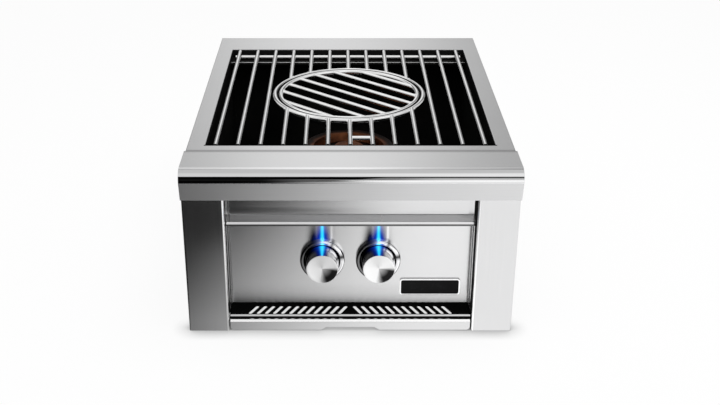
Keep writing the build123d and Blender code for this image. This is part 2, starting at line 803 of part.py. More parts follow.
# Mixing tubes: from the valves through the firebox wall, then up into the burner base
with BuildPart() as outer_mixing_tube:
    with BuildLine():
        FilletPolyline(
            (-knob_x, tube_mouth_y, knob_z),
            (-knob_x, outer_inlet_y, knob_z),
            (-knob_x, outer_inlet_y, burner_base_z),
            radius=tube_bend,
        )
    with BuildSketch(front_plane(tube_mouth_y)):
        with Locations((-knob_x, knob_z)):
            Circle(tube_r)
            Circle(tube_r - tube_wall, mode=Mode.SUBTRACT)
    sweep()
    air_windows(-knob_x, tube_r)
with BuildPart() as inner_mixing_tube:
    with BuildLine():
        FilletPolyline(
            (knob_x, tube_mouth_y, knob_z),
            (knob_x, grate_y - tube_swing_y, knob_z),
            (0, grate_y, knob_z),
            (0, grate_y, burner_base_z),
            radius=tube_bend,
        )
    with BuildSketch(front_plane(tube_mouth_y)):
        with Locations((knob_x, knob_z)):
            Circle(tube_r)
            Circle(tube_r - tube_wall, mode=Mode.SUBTRACT)
    sweep()
    air_windows(knob_x, tube_r)

# Air shutters: sleeves that turn on the mouths of the mixing tubes
shutter_y = tube_mouth_y + shutter_end_gap
with BuildPart() as right_air_shutter:
    bar_y(knob_x, knob_z, tube_r + running_gap + shutter_wall, shutter_y, shutter_y + shutter_length)
    bar_y(knob_x, knob_z, tube_r + running_gap, shutter_y, shutter_y + shutter_length, mode=Mode.SUBTRACT)
    air_windows(knob_x, tube_r + shutter_wall)
with BuildPart() as left_air_shutter:
    mirror(right_air_shutter.part, about=Plane.YZ)

# Gas valves: a block behind the panel with a neck, a spring chamber and a nipple into the manifold
with BuildPart() as right_gas_valve:
    plate(knob_x - valve_size / 2, knob_x + valve_size / 2, valve_y, valve_back_y,
          knob_z - valve_size / 2, knob_z + valve_size / 2)
    fillet(right_gas_valve.edges().filter_by(Axis.Y), radius=bend_radius)
    bar_y(knob_x, knob_z, neck_r, panel_back_y, valve_y)
    bar_z(knob_x, manifold_y, nipple_r, manifold_z + manifold_r - nipple_depth, knob_z)
    bar_y(knob_x, knob_z, stem_r + running_gap, panel_back_y, stem_bore_end_y, mode=Mode.SUBTRACT)
    bar_y(knob_x, knob_z, chamber_r, chamber_y, chamber_back_y, mode=Mode.SUBTRACT)
with BuildPart() as left_gas_valve:
    mirror(right_gas_valve.part, about=Plane.YZ)

# Orifices: hex spuds that jet gas into the mixing tubes
with BuildPart() as right_orifice:
    with BuildSketch(front_plane(valve_back_y)):
        with Locations((knob_x, knob_z)):
            RegularPolygon(spud_hex / 2, 6, major_radius=False)
    extrude(amount=-spud_length)
    bar_y(knob_x, knob_z, spud_tip_r, valve_back_y + spud_length, valve_back_y + spud_length + spud_tip)
    bar_y(knob_x, knob_z, spud_jet_r, valve_back_y, valve_back_y + spud_length + spud_tip,
          mode=Mode.SUBTRACT)
with BuildPart() as left_orifice:
    mirror(right_orifice.part, about=Plane.YZ)

# Valve stems: a shaft with a flat for the knob and a collar behind the neck's front wall
with BuildPart() as right_valve_stem:
    bar_y(knob_x, knob_z, stem_r, stem_front_y, stem_back_y)
    bar_y(knob_x, knob_z, collar_r, collar_y, collar_y + collar_length)
    plate(knob_x - stem_r, knob_x + stem_r, stem_front_y, knob_back_y,
          knob_z + stem_r - stem_flat, knob_z + stem_r, mode=Mode.SUBTRACT)
with BuildPart() as left_valve_stem:
    mirror(right_valve_stem.part, about=Plane.YZ)

# Thrust washers: they slide in with the stem but don't turn with it
with BuildPart() as right_thrust_washer:
    bar_y(knob_x, knob_z, washer_r, washer_y, washer_y + washer_length)
    bar_y(knob_x, knob_z, stem_r + running_gap, washer_y, washer_y + washer_length, mode=Mode.SUBTRACT)
with BuildPart() as left_thrust_washer:
    mirror(right_thrust_washer.part, about=Plane.YZ)

# Return springs: between the washer and the end of the chamber
spring_start_y = spring_y + spring_wire_r
spring_height = chamber_back_y - hole_gap - spring_wire_r - spring_start_y
with BuildPart() as right_return_spring:
    with BuildLine():
        spring_path = Helix(
            pitch=spring_height / spring_turns,
            height=spring_height,
            radius=spring_r,
            center=(knob_x, spring_start_y, knob_z),
            direction=(0, 1, 0),
        )
    with BuildSketch(Plane(spring_path @ 0, z_dir=spring_path % 0)):
        Circle(spring_wire_r)
    sweep(is_frenet=True)
with BuildPart() as left_return_spring:
    mirror(right_return_spring.part, about=Plane.YZ)

# Gas manifold: a pipe under the valves, closed at its left end
with BuildPart() as gas_manifold:
    bar_x(manifold_y, manifold_z, manifold_r, manifold_left, manifold_right)
    bar_x(manifold_y, manifold_z, manifold_r - manifold_wall, manifold_left + manifold_wall,
          manifold_right - manifold_wall, mode=Mode.SUBTRACT)
    bar_x(manifold_y, manifold_z, supply_r - supply_wall, manifold_right - manifold_wall, manifold_right,
          mode=Mode.SUBTRACT)
    for side in (-1, 1):
        bar_z(side * knob_x, manifold_y, nipple_r + hole_gap, manifold_z, manifold_z + manifold_r,
              mode=Mode.SUBTRACT)

# Supply pipe: from the manifold down and back along the right side to the inlet
with BuildPart() as gas_supply_pipe:
    with BuildLine():
        FilletPolyline(
            (manifold_right, manifold_y, manifold_z),
            (supply_x, manifold_y, manifold_z),
            (supply_x, manifold_y, supply_z),
            (supply_x, inlet_collar_y, supply_z),
            radius=supply_bend,
        )
    with BuildSketch(Plane.YZ.offset(manifold_right)):
        with Locations((manifold_y, manifold_z)):
            Circle(supply_r)
            Circle(supply_r - supply_wall, mode=Mode.SUBTRACT)
    sweep()

# Inlet fitting: a collar inside the rear panel with a male thread through it
with BuildPart() as gas_inlet_fitting:
    with BuildSketch(front_plane(inlet_collar_y)):
        with Locations((supply_x, supply_z)):
            RegularPolygon(inlet_collar_r, 6)
    extrude(amount=-inlet_collar)
    thread_y = body_back_y + inlet_neck
    bar_y(supply_x, supply_z, inlet_neck_r, inlet_collar_y, thread_y)
    bar_y(supply_x, supply_z, inlet_thread_r, thread_y, thread_y + inlet_thread)
    bar_y(supply_x, supply_z, inlet_bore_r, inlet_collar_y, thread_y + inlet_thread, mode=Mode.SUBTRACT)

# Igniter and its bracket, beside the outer burner ring
with BuildPart() as igniter_bracket:
    plate(igniter_x - igniter_bracket_length / 2, igniter_x + igniter_bracket_length / 2,
          grate_y - igniter_bracket_width / 2, grate_y + igniter_bracket_width / 2,
          bridge_top_z, bridge_top_z + bridge_sheet)
with BuildPart() as hot_surface_igniter:
    igniter_z = bridge_top_z + bridge_sheet
    bar_z(igniter_x, grate_y, igniter_r, igniter_z, igniter_z + igniter_body)
    plate(igniter_x - igniter_blade_thick / 2, igniter_x + igniter_blade_thick / 2,
          grate_y - igniter_blade_width / 2, grate_y + igniter_blade_width / 2,
          igniter_z + igniter_body, igniter_z + igniter_body + igniter_blade)

# Power module: a box on the panel's bottom flange, behind the panel
with BuildPart() as power_module:
    module_z = vent_shelf_z + sheet
    plate(module_x - module_width / 2, module_x + module_width / 2, panel_back_y + bend_radius,
          panel_back_y + bend_radius + module_depth, module_z, module_z + module_height)
    fillet(power_module.edges().filter_by(Axis.Z), radius=module_round)

# Power socket: a flanged barrel in the rear panel with a plain bore
with BuildPart() as power_socket:
    bar_y(socket_x, socket_z, socket_flange_r, body_back_y, body_back_y + socket_flange)
    bar_y(socket_x, socket_z, socket_body_r, body_back_y + socket_flange - socket_body, body_back_y)
    bar_y(socket_x, socket_z, socket_bore_r, body_back_y + socket_flange - socket_bore,
          body_back_y + socket_flange, mode=Mode.SUBTRACT)

# Knobs: a cup with a slightly dished face and a hub on the stem
with BuildPart() as right_knob:
    with BuildSketch(turning_plane(knob_x, knob_z)):
        with BuildLine():
            TangentArc(
                (knob_face_y + knob_dish, 0),
                (knob_face_y, knob_face_r - knob_edge),
                tangent=(0, 1),
            )
            Polyline(
                (knob_face_y, knob_face_r - knob_edge),
                (knob_face_y + knob_edge, knob_face_r),
                (knob_back_y, knob_base_r),
                (knob_back_y, knob_base_r - knob_wall),
                (knob_face_y + knob_cap, knob_face_r - knob_wall),
                (knob_face_y + knob_cap, knob_hub_r),
                (knob_back_y - knob_hub_inset, knob_hub_r),
                (knob_back_y - knob_hub_inset, stem_r + stem_bore_gap),
                (stem_front_y, stem_r + stem_bore_gap),
                (stem_front_y, 0),
                (knob_face_y + knob_dish, 0),
            )
        make_face()
    revolve(axis=knob_axis)
with BuildPart() as left_knob:
    mirror(right_knob.part, about=Plane.YZ)

# Bezels: a ring with a round rim, notched at the top for the light guide
bezel_front_y = panel_y - bezel_height
with BuildPart() as right_bezel:
    with BuildSketch(turning_plane(knob_x, knob_z)) as bezel_section:
        with BuildLine():
            Polyline(
                (panel_y, bezel_bore_r),
                (panel_y, bezel_r),
                (bezel_front_y, bezel_r),
                (bezel_front_y, bezel_bore_r),
                close=True,
            )
        make_face()
        fillet(bezel_section.vertices().group_by(Axis.X)[0], radius=bezel_round)
    revolve(axis=knob_axis)
    plate(knob_x - guide_width / 2 - hole_gap, knob_x + guide_width / 2 + hole_gap,
          panel_y - guide_height - hole_gap, panel_y,
          knob_z + bezel_bore_r - guide_inside, knob_z + bezel_r + guide_outside, mode=Mode.SUBTRACT)
with BuildPart() as left_bezel:
    mirror(right_bezel.part, about=Plane.YZ)

# Light guides: a clear bar on the panel through each bezel's notch
with BuildPart() as right_light_guide:
    plate(knob_x - guide_width / 2, knob_x + guide_width / 2, panel_y - guide_height, panel_y,
          knob_z + bezel_bore_r - guide_inside, knob_z + bezel_r + guide_outside)
    fillet(right_light_guide.edges().filter_by(Axis.Z), radius=edge_round)
with BuildPart() as left_light_guide:
    mirror(right_light_guide.part, about=Plane.YZ)

# Badge: a bright rim round a bare dark plate
with BuildPart() as badge_rim_part:
    with BuildSketch(front_plane(panel_y)):
        with Locations((badge_x, badge_z)):
            RectangleRounded(badge_width, badge_height, badge_corner)
            RectangleRounded(badge_width - 2 * badge_rim, badge_height - 2 * badge_rim,
                             badge_corner - badge_rim, mode=Mode.SUBTRACT)
    extrude(amount=badge_thick)
with BuildPart() as badge_plate:
    with BuildSketch(front_plane(panel_y)):
        with Locations((badge_x, badge_z)):
            RectangleRounded(badge_width - 2 * badge_rim, badge_height - 2 * badge_rim,
                             badge_corner - badge_rim)
    extrude(amount=badge_thick - badge_recess)

# Screws through the side panels into the rear panel's flanges
with BuildPart() as rear_panel_screws:
    for side in (-1, 1):
        for z in rear_screw_levels:
            screw_y = body_back_y - sheet - rear_flange / 2
            bar_x(screw_y, z, screw_r, side * (body_half - screw_reach), side * body_half)
            bar_x(screw_y, z, screw_head_r, side * body_half, side * (body_half + screw_head))

# Bolts and nuts that join the bullnose to the frame under the seam
bolt_z = overall_height - seam_bolt_drop
nut_y = frame_front_y + sheet
with BuildPart() as seam_bolts:
    for x in seam_bolt_xs:
        bar_y(x, bolt_z, seam_bolt_r, seam_y - sheet, nut_y + seam_bolt_head + sheet)
        with BuildSketch(front_plane(seam_y - sheet)):
            with Locations((x, bolt_z)):
                RegularPolygon(seam_bolt_head_r, 6)
        extrude(amount=seam_bolt_head)
with BuildPart() as seam_nuts:
    for x in seam_bolt_xs:
        with BuildSketch(front_plane(nut_y)):
            with Locations((x, bolt_z)):
                RegularPolygon(seam_bolt_head_r, 6)
                Circle(seam_bolt_r + stem_bore_gap, mode=Mode.SUBTRACT)
        extrude(amount=-seam_bolt_head)

pieces = {
    "top_frame": top_frame,
    "bullnose": bullnose,
    "left_post": left_post,
    "right_post": right_post,
    "left_side_panel": left_side_panel,
    "right_side_panel": right_side_panel,
    "rear_panel": rear_panel,
    "drip_shelf": drip_shelf,
    "control_panel": control_panel,
    "vent_shelf": vent_shelf,
    "drip_tray": drip_tray,
    "firebox_front_wall": firebox_front_wall,
    "firebox_rear_wall": firebox_rear_wall,
    "firebox_left_wall": firebox_left_wall,
    "firebox_right_wall": firebox_right_wall,
    "hopper_floor": hopper_floor,
    "main_grate": main_grate,
    "centre_grate": centre_grate,
    "burner_bridge": burner_bridge,
    "burner_base": burner_base,
    "outer_burner_cap": outer_burner_cap,
    "inner_burner_cap": inner_burner_cap,
    "burner_screws": burner_screws,
    "outer_mixing_tube": outer_mixing_tube,
    "inner_mixing_tube": inner_mixing_tube,
    "left_air_shutter": left_air_shutter,
    "right_air_shutter": right_air_shutter,
    "left_gas_valve": left_gas_valve,
    "right_gas_valve": right_gas_valve,
    "left_orifice": left_orifice,
    "right_orifice": right_orifice,
    "left_valve_stem": left_valve_stem,
    "right_valve_stem": right_valve_stem,
    "left_thrust_washer": left_thrust_washer,
    "right_thrust_washer": right_thrust_washer,
    "left_return_spring": left_return_spring,
    "right_return_spring": right_return_spring,
    "gas_manifold": gas_manifold,
    "gas_supply_pipe": gas_supply_pipe,
    "gas_inlet_fitting": gas_inlet_fitting,
    "igniter_bracket": igniter_bracket,
    "hot_surface_igniter": hot_surface_igniter,
    "power_module": power_module,
    "power_socket": power_socket,
    "left_knob": left_knob,
    "right_knob": right_knob,
    "left_bezel": left_bezel,
    "right_bezel": right_bezel,
    "left_light_guide": left_light_guide,
    "right_light_guide": right_light_guide,
    "badge_rim": badge_rim_part,
    "badge_plate": badge_plate,
    "rear_panel_screws": rear_panel_screws,
    "seam_bolts": seam_bolts,
    "seam_nuts": seam_nuts,
}

os.makedirs("parts", exist_ok=True)
for name, piece in pieces.items():
    piece.part.label = name
    export_step(piece.part, f"parts/{name}.step")
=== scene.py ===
import json
import math

import bpy
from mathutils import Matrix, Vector

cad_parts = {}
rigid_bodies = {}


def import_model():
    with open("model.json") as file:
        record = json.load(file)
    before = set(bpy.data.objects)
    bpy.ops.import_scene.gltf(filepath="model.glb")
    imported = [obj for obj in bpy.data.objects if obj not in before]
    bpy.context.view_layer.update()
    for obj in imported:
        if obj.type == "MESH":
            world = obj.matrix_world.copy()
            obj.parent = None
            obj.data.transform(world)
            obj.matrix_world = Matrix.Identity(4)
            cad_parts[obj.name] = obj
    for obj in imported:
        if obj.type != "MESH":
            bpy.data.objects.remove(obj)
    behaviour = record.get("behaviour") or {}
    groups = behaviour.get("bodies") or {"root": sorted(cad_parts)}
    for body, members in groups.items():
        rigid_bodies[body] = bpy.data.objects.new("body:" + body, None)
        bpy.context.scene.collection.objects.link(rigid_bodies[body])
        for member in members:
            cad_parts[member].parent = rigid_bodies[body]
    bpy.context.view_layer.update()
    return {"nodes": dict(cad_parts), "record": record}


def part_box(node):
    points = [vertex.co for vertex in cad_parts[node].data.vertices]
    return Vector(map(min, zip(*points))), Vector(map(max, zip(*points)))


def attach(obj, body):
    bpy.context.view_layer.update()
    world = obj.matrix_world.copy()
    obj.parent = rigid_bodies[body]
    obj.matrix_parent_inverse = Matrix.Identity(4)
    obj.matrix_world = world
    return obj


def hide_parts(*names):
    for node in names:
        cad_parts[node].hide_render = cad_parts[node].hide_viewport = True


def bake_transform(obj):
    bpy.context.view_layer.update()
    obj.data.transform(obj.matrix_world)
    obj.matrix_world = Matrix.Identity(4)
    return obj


for leftover in list(bpy.data.objects):
    bpy.data.objects.remove(leftover)

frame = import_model()
nodes = frame["nodes"]
scene = bpy.context.scene

# Places and sizes in metres, most of them from the part's source
KNOB_X = 0.044
KNOB_Z = 0.109
KNOB_FACE_Y = -0.322
KNOB_BACK_Y = -0.292
KNOB_FACE_R = 0.0246
KNOB_SHOULDER_R = 0.0262
KNOB_SHOULDER_Y = -0.2958
KNOB_NECK_R = 0.0252
KNOB_EDGE = 0.0005
KNOB_DISH = 0.0026
BEZEL_TOP_Z = 0.1443
SHELF_UNDER_Z = 0.186
BEZEL_BORE_R = 0.0275
BEZEL_CREST_Y = -0.2955
POST_FACE_Y = -0.326
POST_INNER_X = 0.1916
POST_BEND = 0.0032
POST_OUTER_X = 0.255
VENT_EDGE_Y = -0.3206
VENT_SHELF_Z = 0.027
VENT_HEM_Z = 0.0243
TRAY_LIP_Z = 0.0162
TRAY_LIP_Y = -0.3225
STRIP_Y = -0.288
STRIP_FOOT_Z = 0.187
DRIP_EDGE_Y = -0.307
DRIP_BEVEL_LOW_Z = 0.1813
FRAME_TOP_Z = 0.28
OPENING_HALF = 0.226
OPENING_FRONT_Y = -0.232
OPENING_BACK_Y = 0.258
SEAM_Y = -0.2555
SEAM_SHADE = 0.0042
NOSE_Z = 0.262
NOSE_HALF = 0.256
LEDGE_EDGE_Y = 0.2255
LEDGE_Z = 0.2638
GRATE_Y = 0.013
ROD_Z = 0.2755
BAR_END_Y = -0.2255
MAIN_RING_R = 0.130
CENTRE_RING_R = 0.1202
ROD_R = 0.004
BAR_R = 0.0039
BAR_PITCH = 0.0352
CENTRE_BAR_R = 0.0035
CENTRE_BAR_PITCH = 0.0346
CENTRE_BAR_TURN = math.radians(-42)
BEAD_LONG = 0.0026
BEAD_WIDE = 0.0024
BEAD_TALL = 0.0026
BEAD_RISE = 0.0006
BEAD_SWELL = 0.15
BEAD_LUMP = 0.1
WELD_INSET = 0.0006
WELD_GAP = 0.0003


# Materials

GRAIN_SCALE = 900
GRAIN_STRETCH = 0.012
GRAIN_CONTRAST = 0.02
GRAIN_SHARE = 0.6
GRAIN_DEPTH = 0.0003
CLOUD_SCALE = 9
COOL_TINT = 0.004
# Keeps the grain's direction from vanishing on faces square to it
GRAIN_NUDGE = (0.004, 0.006, 0.005)
ALONG_X = (1, 0, 0)
ALONG_Z = (0, 0, 1)
# Light colour of the painted highlights on bends and lips
PAINTED_HIGHLIGHT = (0.98, 0.98, 0.98)
WHITE = (1.0, 1.0, 1.0)
# Shares of the base colour that the painted shade and the seam's painted shade leave
PAINTED_SHADE = 0.015
SEAM_KEEP = 0.5
# Heights over a knob's shaft from which light is painted, on the panel and bezel and on the knob's side
PANEL_LIGHT_LOW = 0.024
SIDE_LIGHT_LOW = 0.006


class Nodes:
    """A node tree, with short calls to add and join nodes."""

    def __init__(self, node_tree):
        self.nodes = node_tree.nodes
        self.links = node_tree.links

    def add(self, kind, **settings):
        node = self.nodes.new(kind)
        for key, value in settings.items():
            setattr(node, key, value)
        return node

    def join(self, output, socket):
        self.links.new(output, socket)

    def math(self, operation, first, second=None):
        node = self.add("ShaderNodeMath", operation=operation)
        for socket, value in zip(node.inputs, (first, second)):
            if value is None:
                continue
            if isinstance(value, (int, float)):
                socket.default_value = value
            else:
                self.join(value, socket)
        return node.outputs["Value"]

    def length(self, first, second):
        """The long side of a right triangle with these two sides."""
        squares = [self.math("MULTIPLY", value, value) for value in (first, second)]
        return self.math("SQRT", self.math("ADD", *squares))

    def step(self, value, low, high, to_low, to_high):
        """Ease from one number to another between two limits."""
        node = self.add("ShaderNodeMapRange", interpolation_type="SMOOTHSTEP")
        for key, number in zip(("From Min", "From Max", "To Min", "To Max"), (low, high, to_low, to_high)):
            node.inputs[key].default_value = number
        self.join(value, node.inputs["Value"])
        return node.outputs["Result"]


class Tree(Nodes):
    """A material's nodes, with its shader."""

    def __init__(self, name, anchor=None):
        self.anchor = anchor
        self.material = bpy.data.materials.new(name)
        self.material.use_nodes = True
        super().__init__(self.material.node_tree)
        self.shader = self.nodes["Principled BSDF"]

    def place(self):
        """The piece's own coordinates, or those of the piece it is anchored to, in metres."""
        return self.add("ShaderNodeTexCoord", object=self.anchor).outputs["Object"]

    def stretched(self, scale):
        mapping = self.add("ShaderNodeMapping")
        mapping.inputs["Scale"].default_value = scale
        self.join(self.place(), mapping.inputs["Vector"])
        return mapping.outputs["Vector"]

    def noise(self, scale, stretch=(1, 1, 1), detail=3.0, roughness=0.55):
        node = self.add("ShaderNodeTexNoise")
        node.inputs["Scale"].default_value = scale
        node.inputs["Detail"].default_value = detail
        node.inputs["Roughness"].default_value = roughness
        self.join(self.stretched(stretch), node.inputs["Vector"])
        return node.outputs["Fac"]

    def span(self, value, low, high, from_low=0.3, from_high=0.7):
        """Spread a value that lies between two limits over two others."""
        node = self.add("ShaderNodeMapRange")
        node.inputs["From Min"].default_value = from_low
        node.inputs["From Max"].default_value = from_high
        node.inputs["To Min"].default_value = low
        node.inputs["To Max"].default_value = high
        self.join(value, node.inputs["Value"])
        return node.outputs["Result"]

    def shade(self, value, dark, light):
        """Turn a value into a colour between two."""
        node = self.add("ShaderNodeMix", data_type="RGBA")
        node.inputs["A"].default_value = (*dark, 1)
        node.inputs["B"].default_value = (*light, 1)
        self.join(self.span(value, 0, 1), node.inputs["Factor"])
        return node.outputs["Result"]

    def axis(self, name):
        split = self.add("ShaderNodeSeparateXYZ")
        self.join(self.place(), split.inputs["Vector"])
        return split.outputs[name]

    def from_knob(self):
        """Distance from the nearer knob's shaft, and height over it."""
        aside = self.math("SUBTRACT", self.math("ABSOLUTE", self.axis("X")), KNOB_X)
        height = self.math("SUBTRACT", self.axis("Z"), KNOB_Z)
        return self.length(aside, height), height

    def right_of_knob(self):
        """Distance to the right of the nearer knob's shaft, less than zero to its left."""
        x = self.axis("X")
        return self.math("SUBTRACT", x, self.math("MULTIPLY", self.math("SIGN", x), KNOB_X))

    def from_grate(self):
        """Distance from the middle of the grate."""
        return self.length(self.axis("X"), self.math("SUBTRACT", self.axis("Y"), GRATE_Y))

    def between(self, value, low, high):
        """One between two limits, else zero."""
        over = self.math("GREATER_THAN", value, low)
        return self.math("MULTIPLY", over, self.math("LESS_THAN", value, high))

    def bell(self, value, middle, width):
        """One at the middle, falling away on both sides."""
        offset = self.math("SUBTRACT", value, middle)
        ratio = self.math("DIVIDE", offset, width)
        return self.math("EXPONENT", self.math("MULTIPLY", self.math("MULTIPLY", ratio, ratio), -1))

    def paint(self, colour):
        self.colour = colour
        self.join(colour, self.shader.inputs["Base Color"])

    def lighten(self, where, colour):
        """Mix another colour over the base colour where a mask is one."""
        node = self.add("ShaderNodeMix", data_type="RGBA")
        self.join(where, node.inputs["Factor"])
        self.join(self.colour, node.inputs["A"])
        node.inputs["B"].default_value = (*colour, 1)
        self.paint(node.outputs["Result"])

    def darken(self, where, share):
        """Keep only a share of the base colour where a mask is one."""
        node = self.add("ShaderNodeMix", data_type="RGBA", blend_type="MULTIPLY")
        self.join(where, node.inputs["Factor"])
        self.join(self.colour, node.inputs["A"])
        node.inputs["B"].default_value = (share, share, share, 1)
        self.paint(node.outputs["Result"])

    def dull(self, where, share):
        """Dark and without shine where a mask is one."""
        self.darken(where, share)
        self.join(self.math("SUBTRACT", 1.0, where), self.shader.inputs["Metallic"])
        self.shader.inputs["Specular IOR Level"].default_value = 0.0

    def bump(self, height, strength, distance):
        node = self.add("ShaderNodeBump")
        node.inputs["Strength"].default_value = strength
        node.inputs["Distance"].default_value = distance
        self.join(height, node.inputs["Height"])
        self.join(node.outputs["Normal"], self.shader.inputs["Normal"])

    def eased_foot(self, foot, reach, slope):
        """Height of a surface that leans back by a growing slope towards its foot."""
        depth = self.math("MAXIMUM", self.math("SUBTRACT", foot + reach, self.axis("Z")), 0.0)
        return self.math("MULTIPLY", self.math("MULTIPLY", depth, depth), slope / (2 * reach))

    def across(self, grain):
        """Blur reflections across a straight grain."""
        geometry = self.add("ShaderNodeNewGeometry")
        cross = self.add("ShaderNodeVectorMath", operation="CROSS_PRODUCT")
        self.join(geometry.outputs["Normal"], cross.inputs[0])
        cross.inputs[1].default_value = grain
        nudge = self.add("ShaderNodeVectorMath", operation="ADD")
        self.join(cross.outputs["Vector"], nudge.inputs[0])
        nudge.inputs[1].default_value = GRAIN_NUDGE
        self.join(nudge.outputs["Vector"], self.shader.inputs["Tangent"])


def metal(name, roughness, anisotropy=0.0, anchor=None):
    tree = Tree(name, anchor)
    tree.shader.inputs["Metallic"].default_value = 1.0
    tree.shader.inputs["Roughness"].default_value = roughness
    tree.shader.inputs["Anisotropic"].default_value = anisotropy
    return tree


def brushed(name, grain, grey, rough_low, rough_high, anisotropy):
    """Sheet metal with a fine straight grain."""
    tree = metal(name, rough_low, anisotropy)
    stretch = tuple(GRAIN_STRETCH if along else 1.0 for along in grain)
    fine = tree.noise(GRAIN_SCALE, stretch, detail=4, roughness=0.6)
    cloud = tree.noise(CLOUD_SCALE, detail=2)
    fine = tree.math("MULTIPLY", fine, GRAIN_SHARE)
    cloud = tree.math("MULTIPLY", cloud, 1 - GRAIN_SHARE)
    mixed = tree.math("ADD", fine, cloud)
    dark, light = (
        (grey + shift, grey + shift, grey + shift + COOL_TINT)
        for shift in (-GRAIN_CONTRAST, GRAIN_CONTRAST)
    )
    tree.paint(tree.shade(mixed, dark, light))
    tree.join(tree.span(mixed, rough_low, rough_high), tree.shader.inputs["Roughness"])
    tree.across(grain)
    return tree


def over_knobs(tree, low):
    """How far up from the bezel to the drip shelf, and a mask of the part above the knobs."""
    _, height = tree.from_knob()
    rise = tree.span(height, 0, 1, BEZEL_TOP_Z - KNOB_Z, SHELF_UNDER_Z - KNOB_Z)
    return rise, tree.math("GREATER_THAN", height, low)


def glow_over_knobs(tree, core, halo, low=PANEL_LIGHT_LOW, along=None):
    """Blue light of the guides: a core and a halo, each a hue with widths and strengths at both ends."""
    rise, above = over_knobs(tree, low)
    rise = along or rise
    aside = tree.right_of_knob()
    lights = []
    for hue, widths, strengths in (core, halo):
        fall = tree.bell(aside, 0.0, tree.span(rise, *widths, 0, 1))
        strength = tree.math("MULTIPLY", tree.span(rise, *strengths, 0, 1), above)
        lights.append((hue, tree.math("MULTIPLY", fall, strength)))
    combine = tree.add("ShaderNodeCombineColor")
    for index, channel in enumerate(("Red", "Green", "Blue")):
        shares = [tree.math("MULTIPLY", light, hue[index]) for hue, light in lights]
        tree.join(tree.math("ADD", *shares), combine.inputs[channel])
    tree.join(combine.outputs["Color"], tree.shader.inputs["Emission Color"])
    tree.shader.inputs["Emission Strength"].default_value = 1.0


def sheet_steel():
    return brushed("stainless_sheet", ALONG_X, grey=0.69, rough_low=0.2, rough_high=0.26, anisotropy=0.6)


def frame_steel():
    """Sideways grain, shaded at the seam, with painted shade darkening the opening's flanges and front lip.
    """
    tree = brushed("stainless_frame", ALONG_X, grey=0.655, rough_low=0.16, rough_high=0.22, anisotropy=0.6)
    margin = 0.002
    lip_ahead, lip_behind = 0.0026, 0.001
    y = tree.axis("Y")
    within = tree.math("LESS_THAN", tree.math("ABSOLUTE", tree.axis("X")), OPENING_HALF + margin)
    below = tree.math("LESS_THAN", tree.axis("Z"), FRAME_TOP_Z - margin)
    flange = tree.between(y, OPENING_FRONT_Y - margin, OPENING_BACK_Y + margin)
    flange = tree.math("MULTIPLY", below, flange)
    lip = tree.between(y, OPENING_FRONT_Y - lip_ahead, OPENING_FRONT_Y + lip_behind)
    # Painted shade: the flanges and front lip dark and without shine
    tree.dull(tree.math("MULTIPLY", tree.math("MAXIMUM", flange, lip), within), PAINTED_SHADE)
    tree.darken(tree.bell(y, SEAM_Y, SEAM_SHADE), SEAM_KEEP)
    return tree


def bullnose_steel():
    """The nose is bright with a shaded line, wider at the left; the face under it is duller."""
    tree = brushed("stainless_nose", ALONG_X, grey=0.7, rough_low=0.13, rough_high=0.17, anisotropy=0.4)
    nose_rough, under_rough, top_rough = 0.06, 0.45, 0.1
    roll_low, roll_high = NOSE_Z - 0.0004, NOSE_Z + 0.006
    line_left, line_right, line_top = NOSE_Z + 0.005, NOSE_Z + 0.0077, NOSE_Z + 0.0088
    x = tree.axis("X")
    y = tree.axis("Y")
    height = tree.axis("Z")
    end = tree.math("GREATER_THAN", tree.math("ABSOLUTE", x), NOSE_HALF - 0.0002)
    under = tree.math("MAXIMUM", tree.step(height, NOSE_Z - 0.0022, NOSE_Z - 0.0002, 1, 0), end)
    top = tree.step(height, FRAME_TOP_Z - 0.003, FRAME_TOP_Z - 0.0005, 0, 1)
    rough = tree.math("MULTIPLY", under, under_rough)
    rough = tree.math("ADD", rough, tree.math("MULTIPLY", top, top_rough))
    # In place of the grain's roughness
    tree.join(tree.math("ADD", rough, nose_rough), tree.shader.inputs["Roughness"])
    facing = tree.math("SUBTRACT", tree.math("LESS_THAN", y, POST_FACE_Y), end)
    facing = tree.math("MAXIMUM", facing, 0.0)
    roll = tree.math("MULTIPLY", facing, tree.between(height, roll_low, roll_high))
    tree.darken(tree.math("MULTIPLY", roll, tree.step(x, -0.14, -0.05, 1, 0)), 0.06)
    line = tree.between(height, tree.step(x, 0.0, 0.06, line_left, line_right), line_top)
    tree.darken(tree.math("MULTIPLY", line, facing), 0.01)
    tree.darken(tree.bell(y, SEAM_Y, SEAM_SHADE), SEAM_KEEP)
    return tree


def post_steel(name, side):
    """Upright grain, a painted highlight on the inner bend and return, and painted shade on the return beside
    the panel and the left outer corner.
    """
    tree = brushed(name, ALONG_Z, grey=0.69, rough_low=0.17, rough_high=0.22, anisotropy=0.5)
    dark_share = 0.02
    x = tree.axis("X")
    depth = tree.math("SUBTRACT", tree.axis("Y"), POST_FACE_Y)
    inner = tree.math("LESS_THAN", tree.math("ABSOLUTE", x), POST_INNER_X + POST_BEND)
    # Painted highlight on the inner bend and return
    tree.lighten(inner, PAINTED_HIGHLIGHT)
    if side == "left":
        shade_start, shade_end = 0.010, 0.024
        corner_wide, corner_deep = 0.0014, 0.004
        shade = tree.math("MULTIPLY", tree.between(depth, shade_start, shade_end), inner)
        corner = tree.math("MULTIPLY", tree.math("LESS_THAN", x, corner_wide - POST_OUTER_X),
                           tree.math("LESS_THAN", depth, corner_deep))
        # Painted shade on the return and at the outer front corner
        tree.dull(tree.math("MAXIMUM", shade, corner), dark_share)
    else:
        shade_start, shade_end, farther_by_strip = POST_BEND - 0.0006, 0.026, 0.015
        by_strip = tree.math("GREATER_THAN", tree.axis("Z"), STRIP_FOOT_Z - 0.008)
        reach = tree.math("ADD", tree.math("MULTIPLY", by_strip, farther_by_strip), shade_end)
        # Painted shade on the return, reaching deeper beside the strip
        tree.dull(tree.math("MULTIPLY", tree.between(depth, shade_start, reach), inner), dark_share)
    return tree


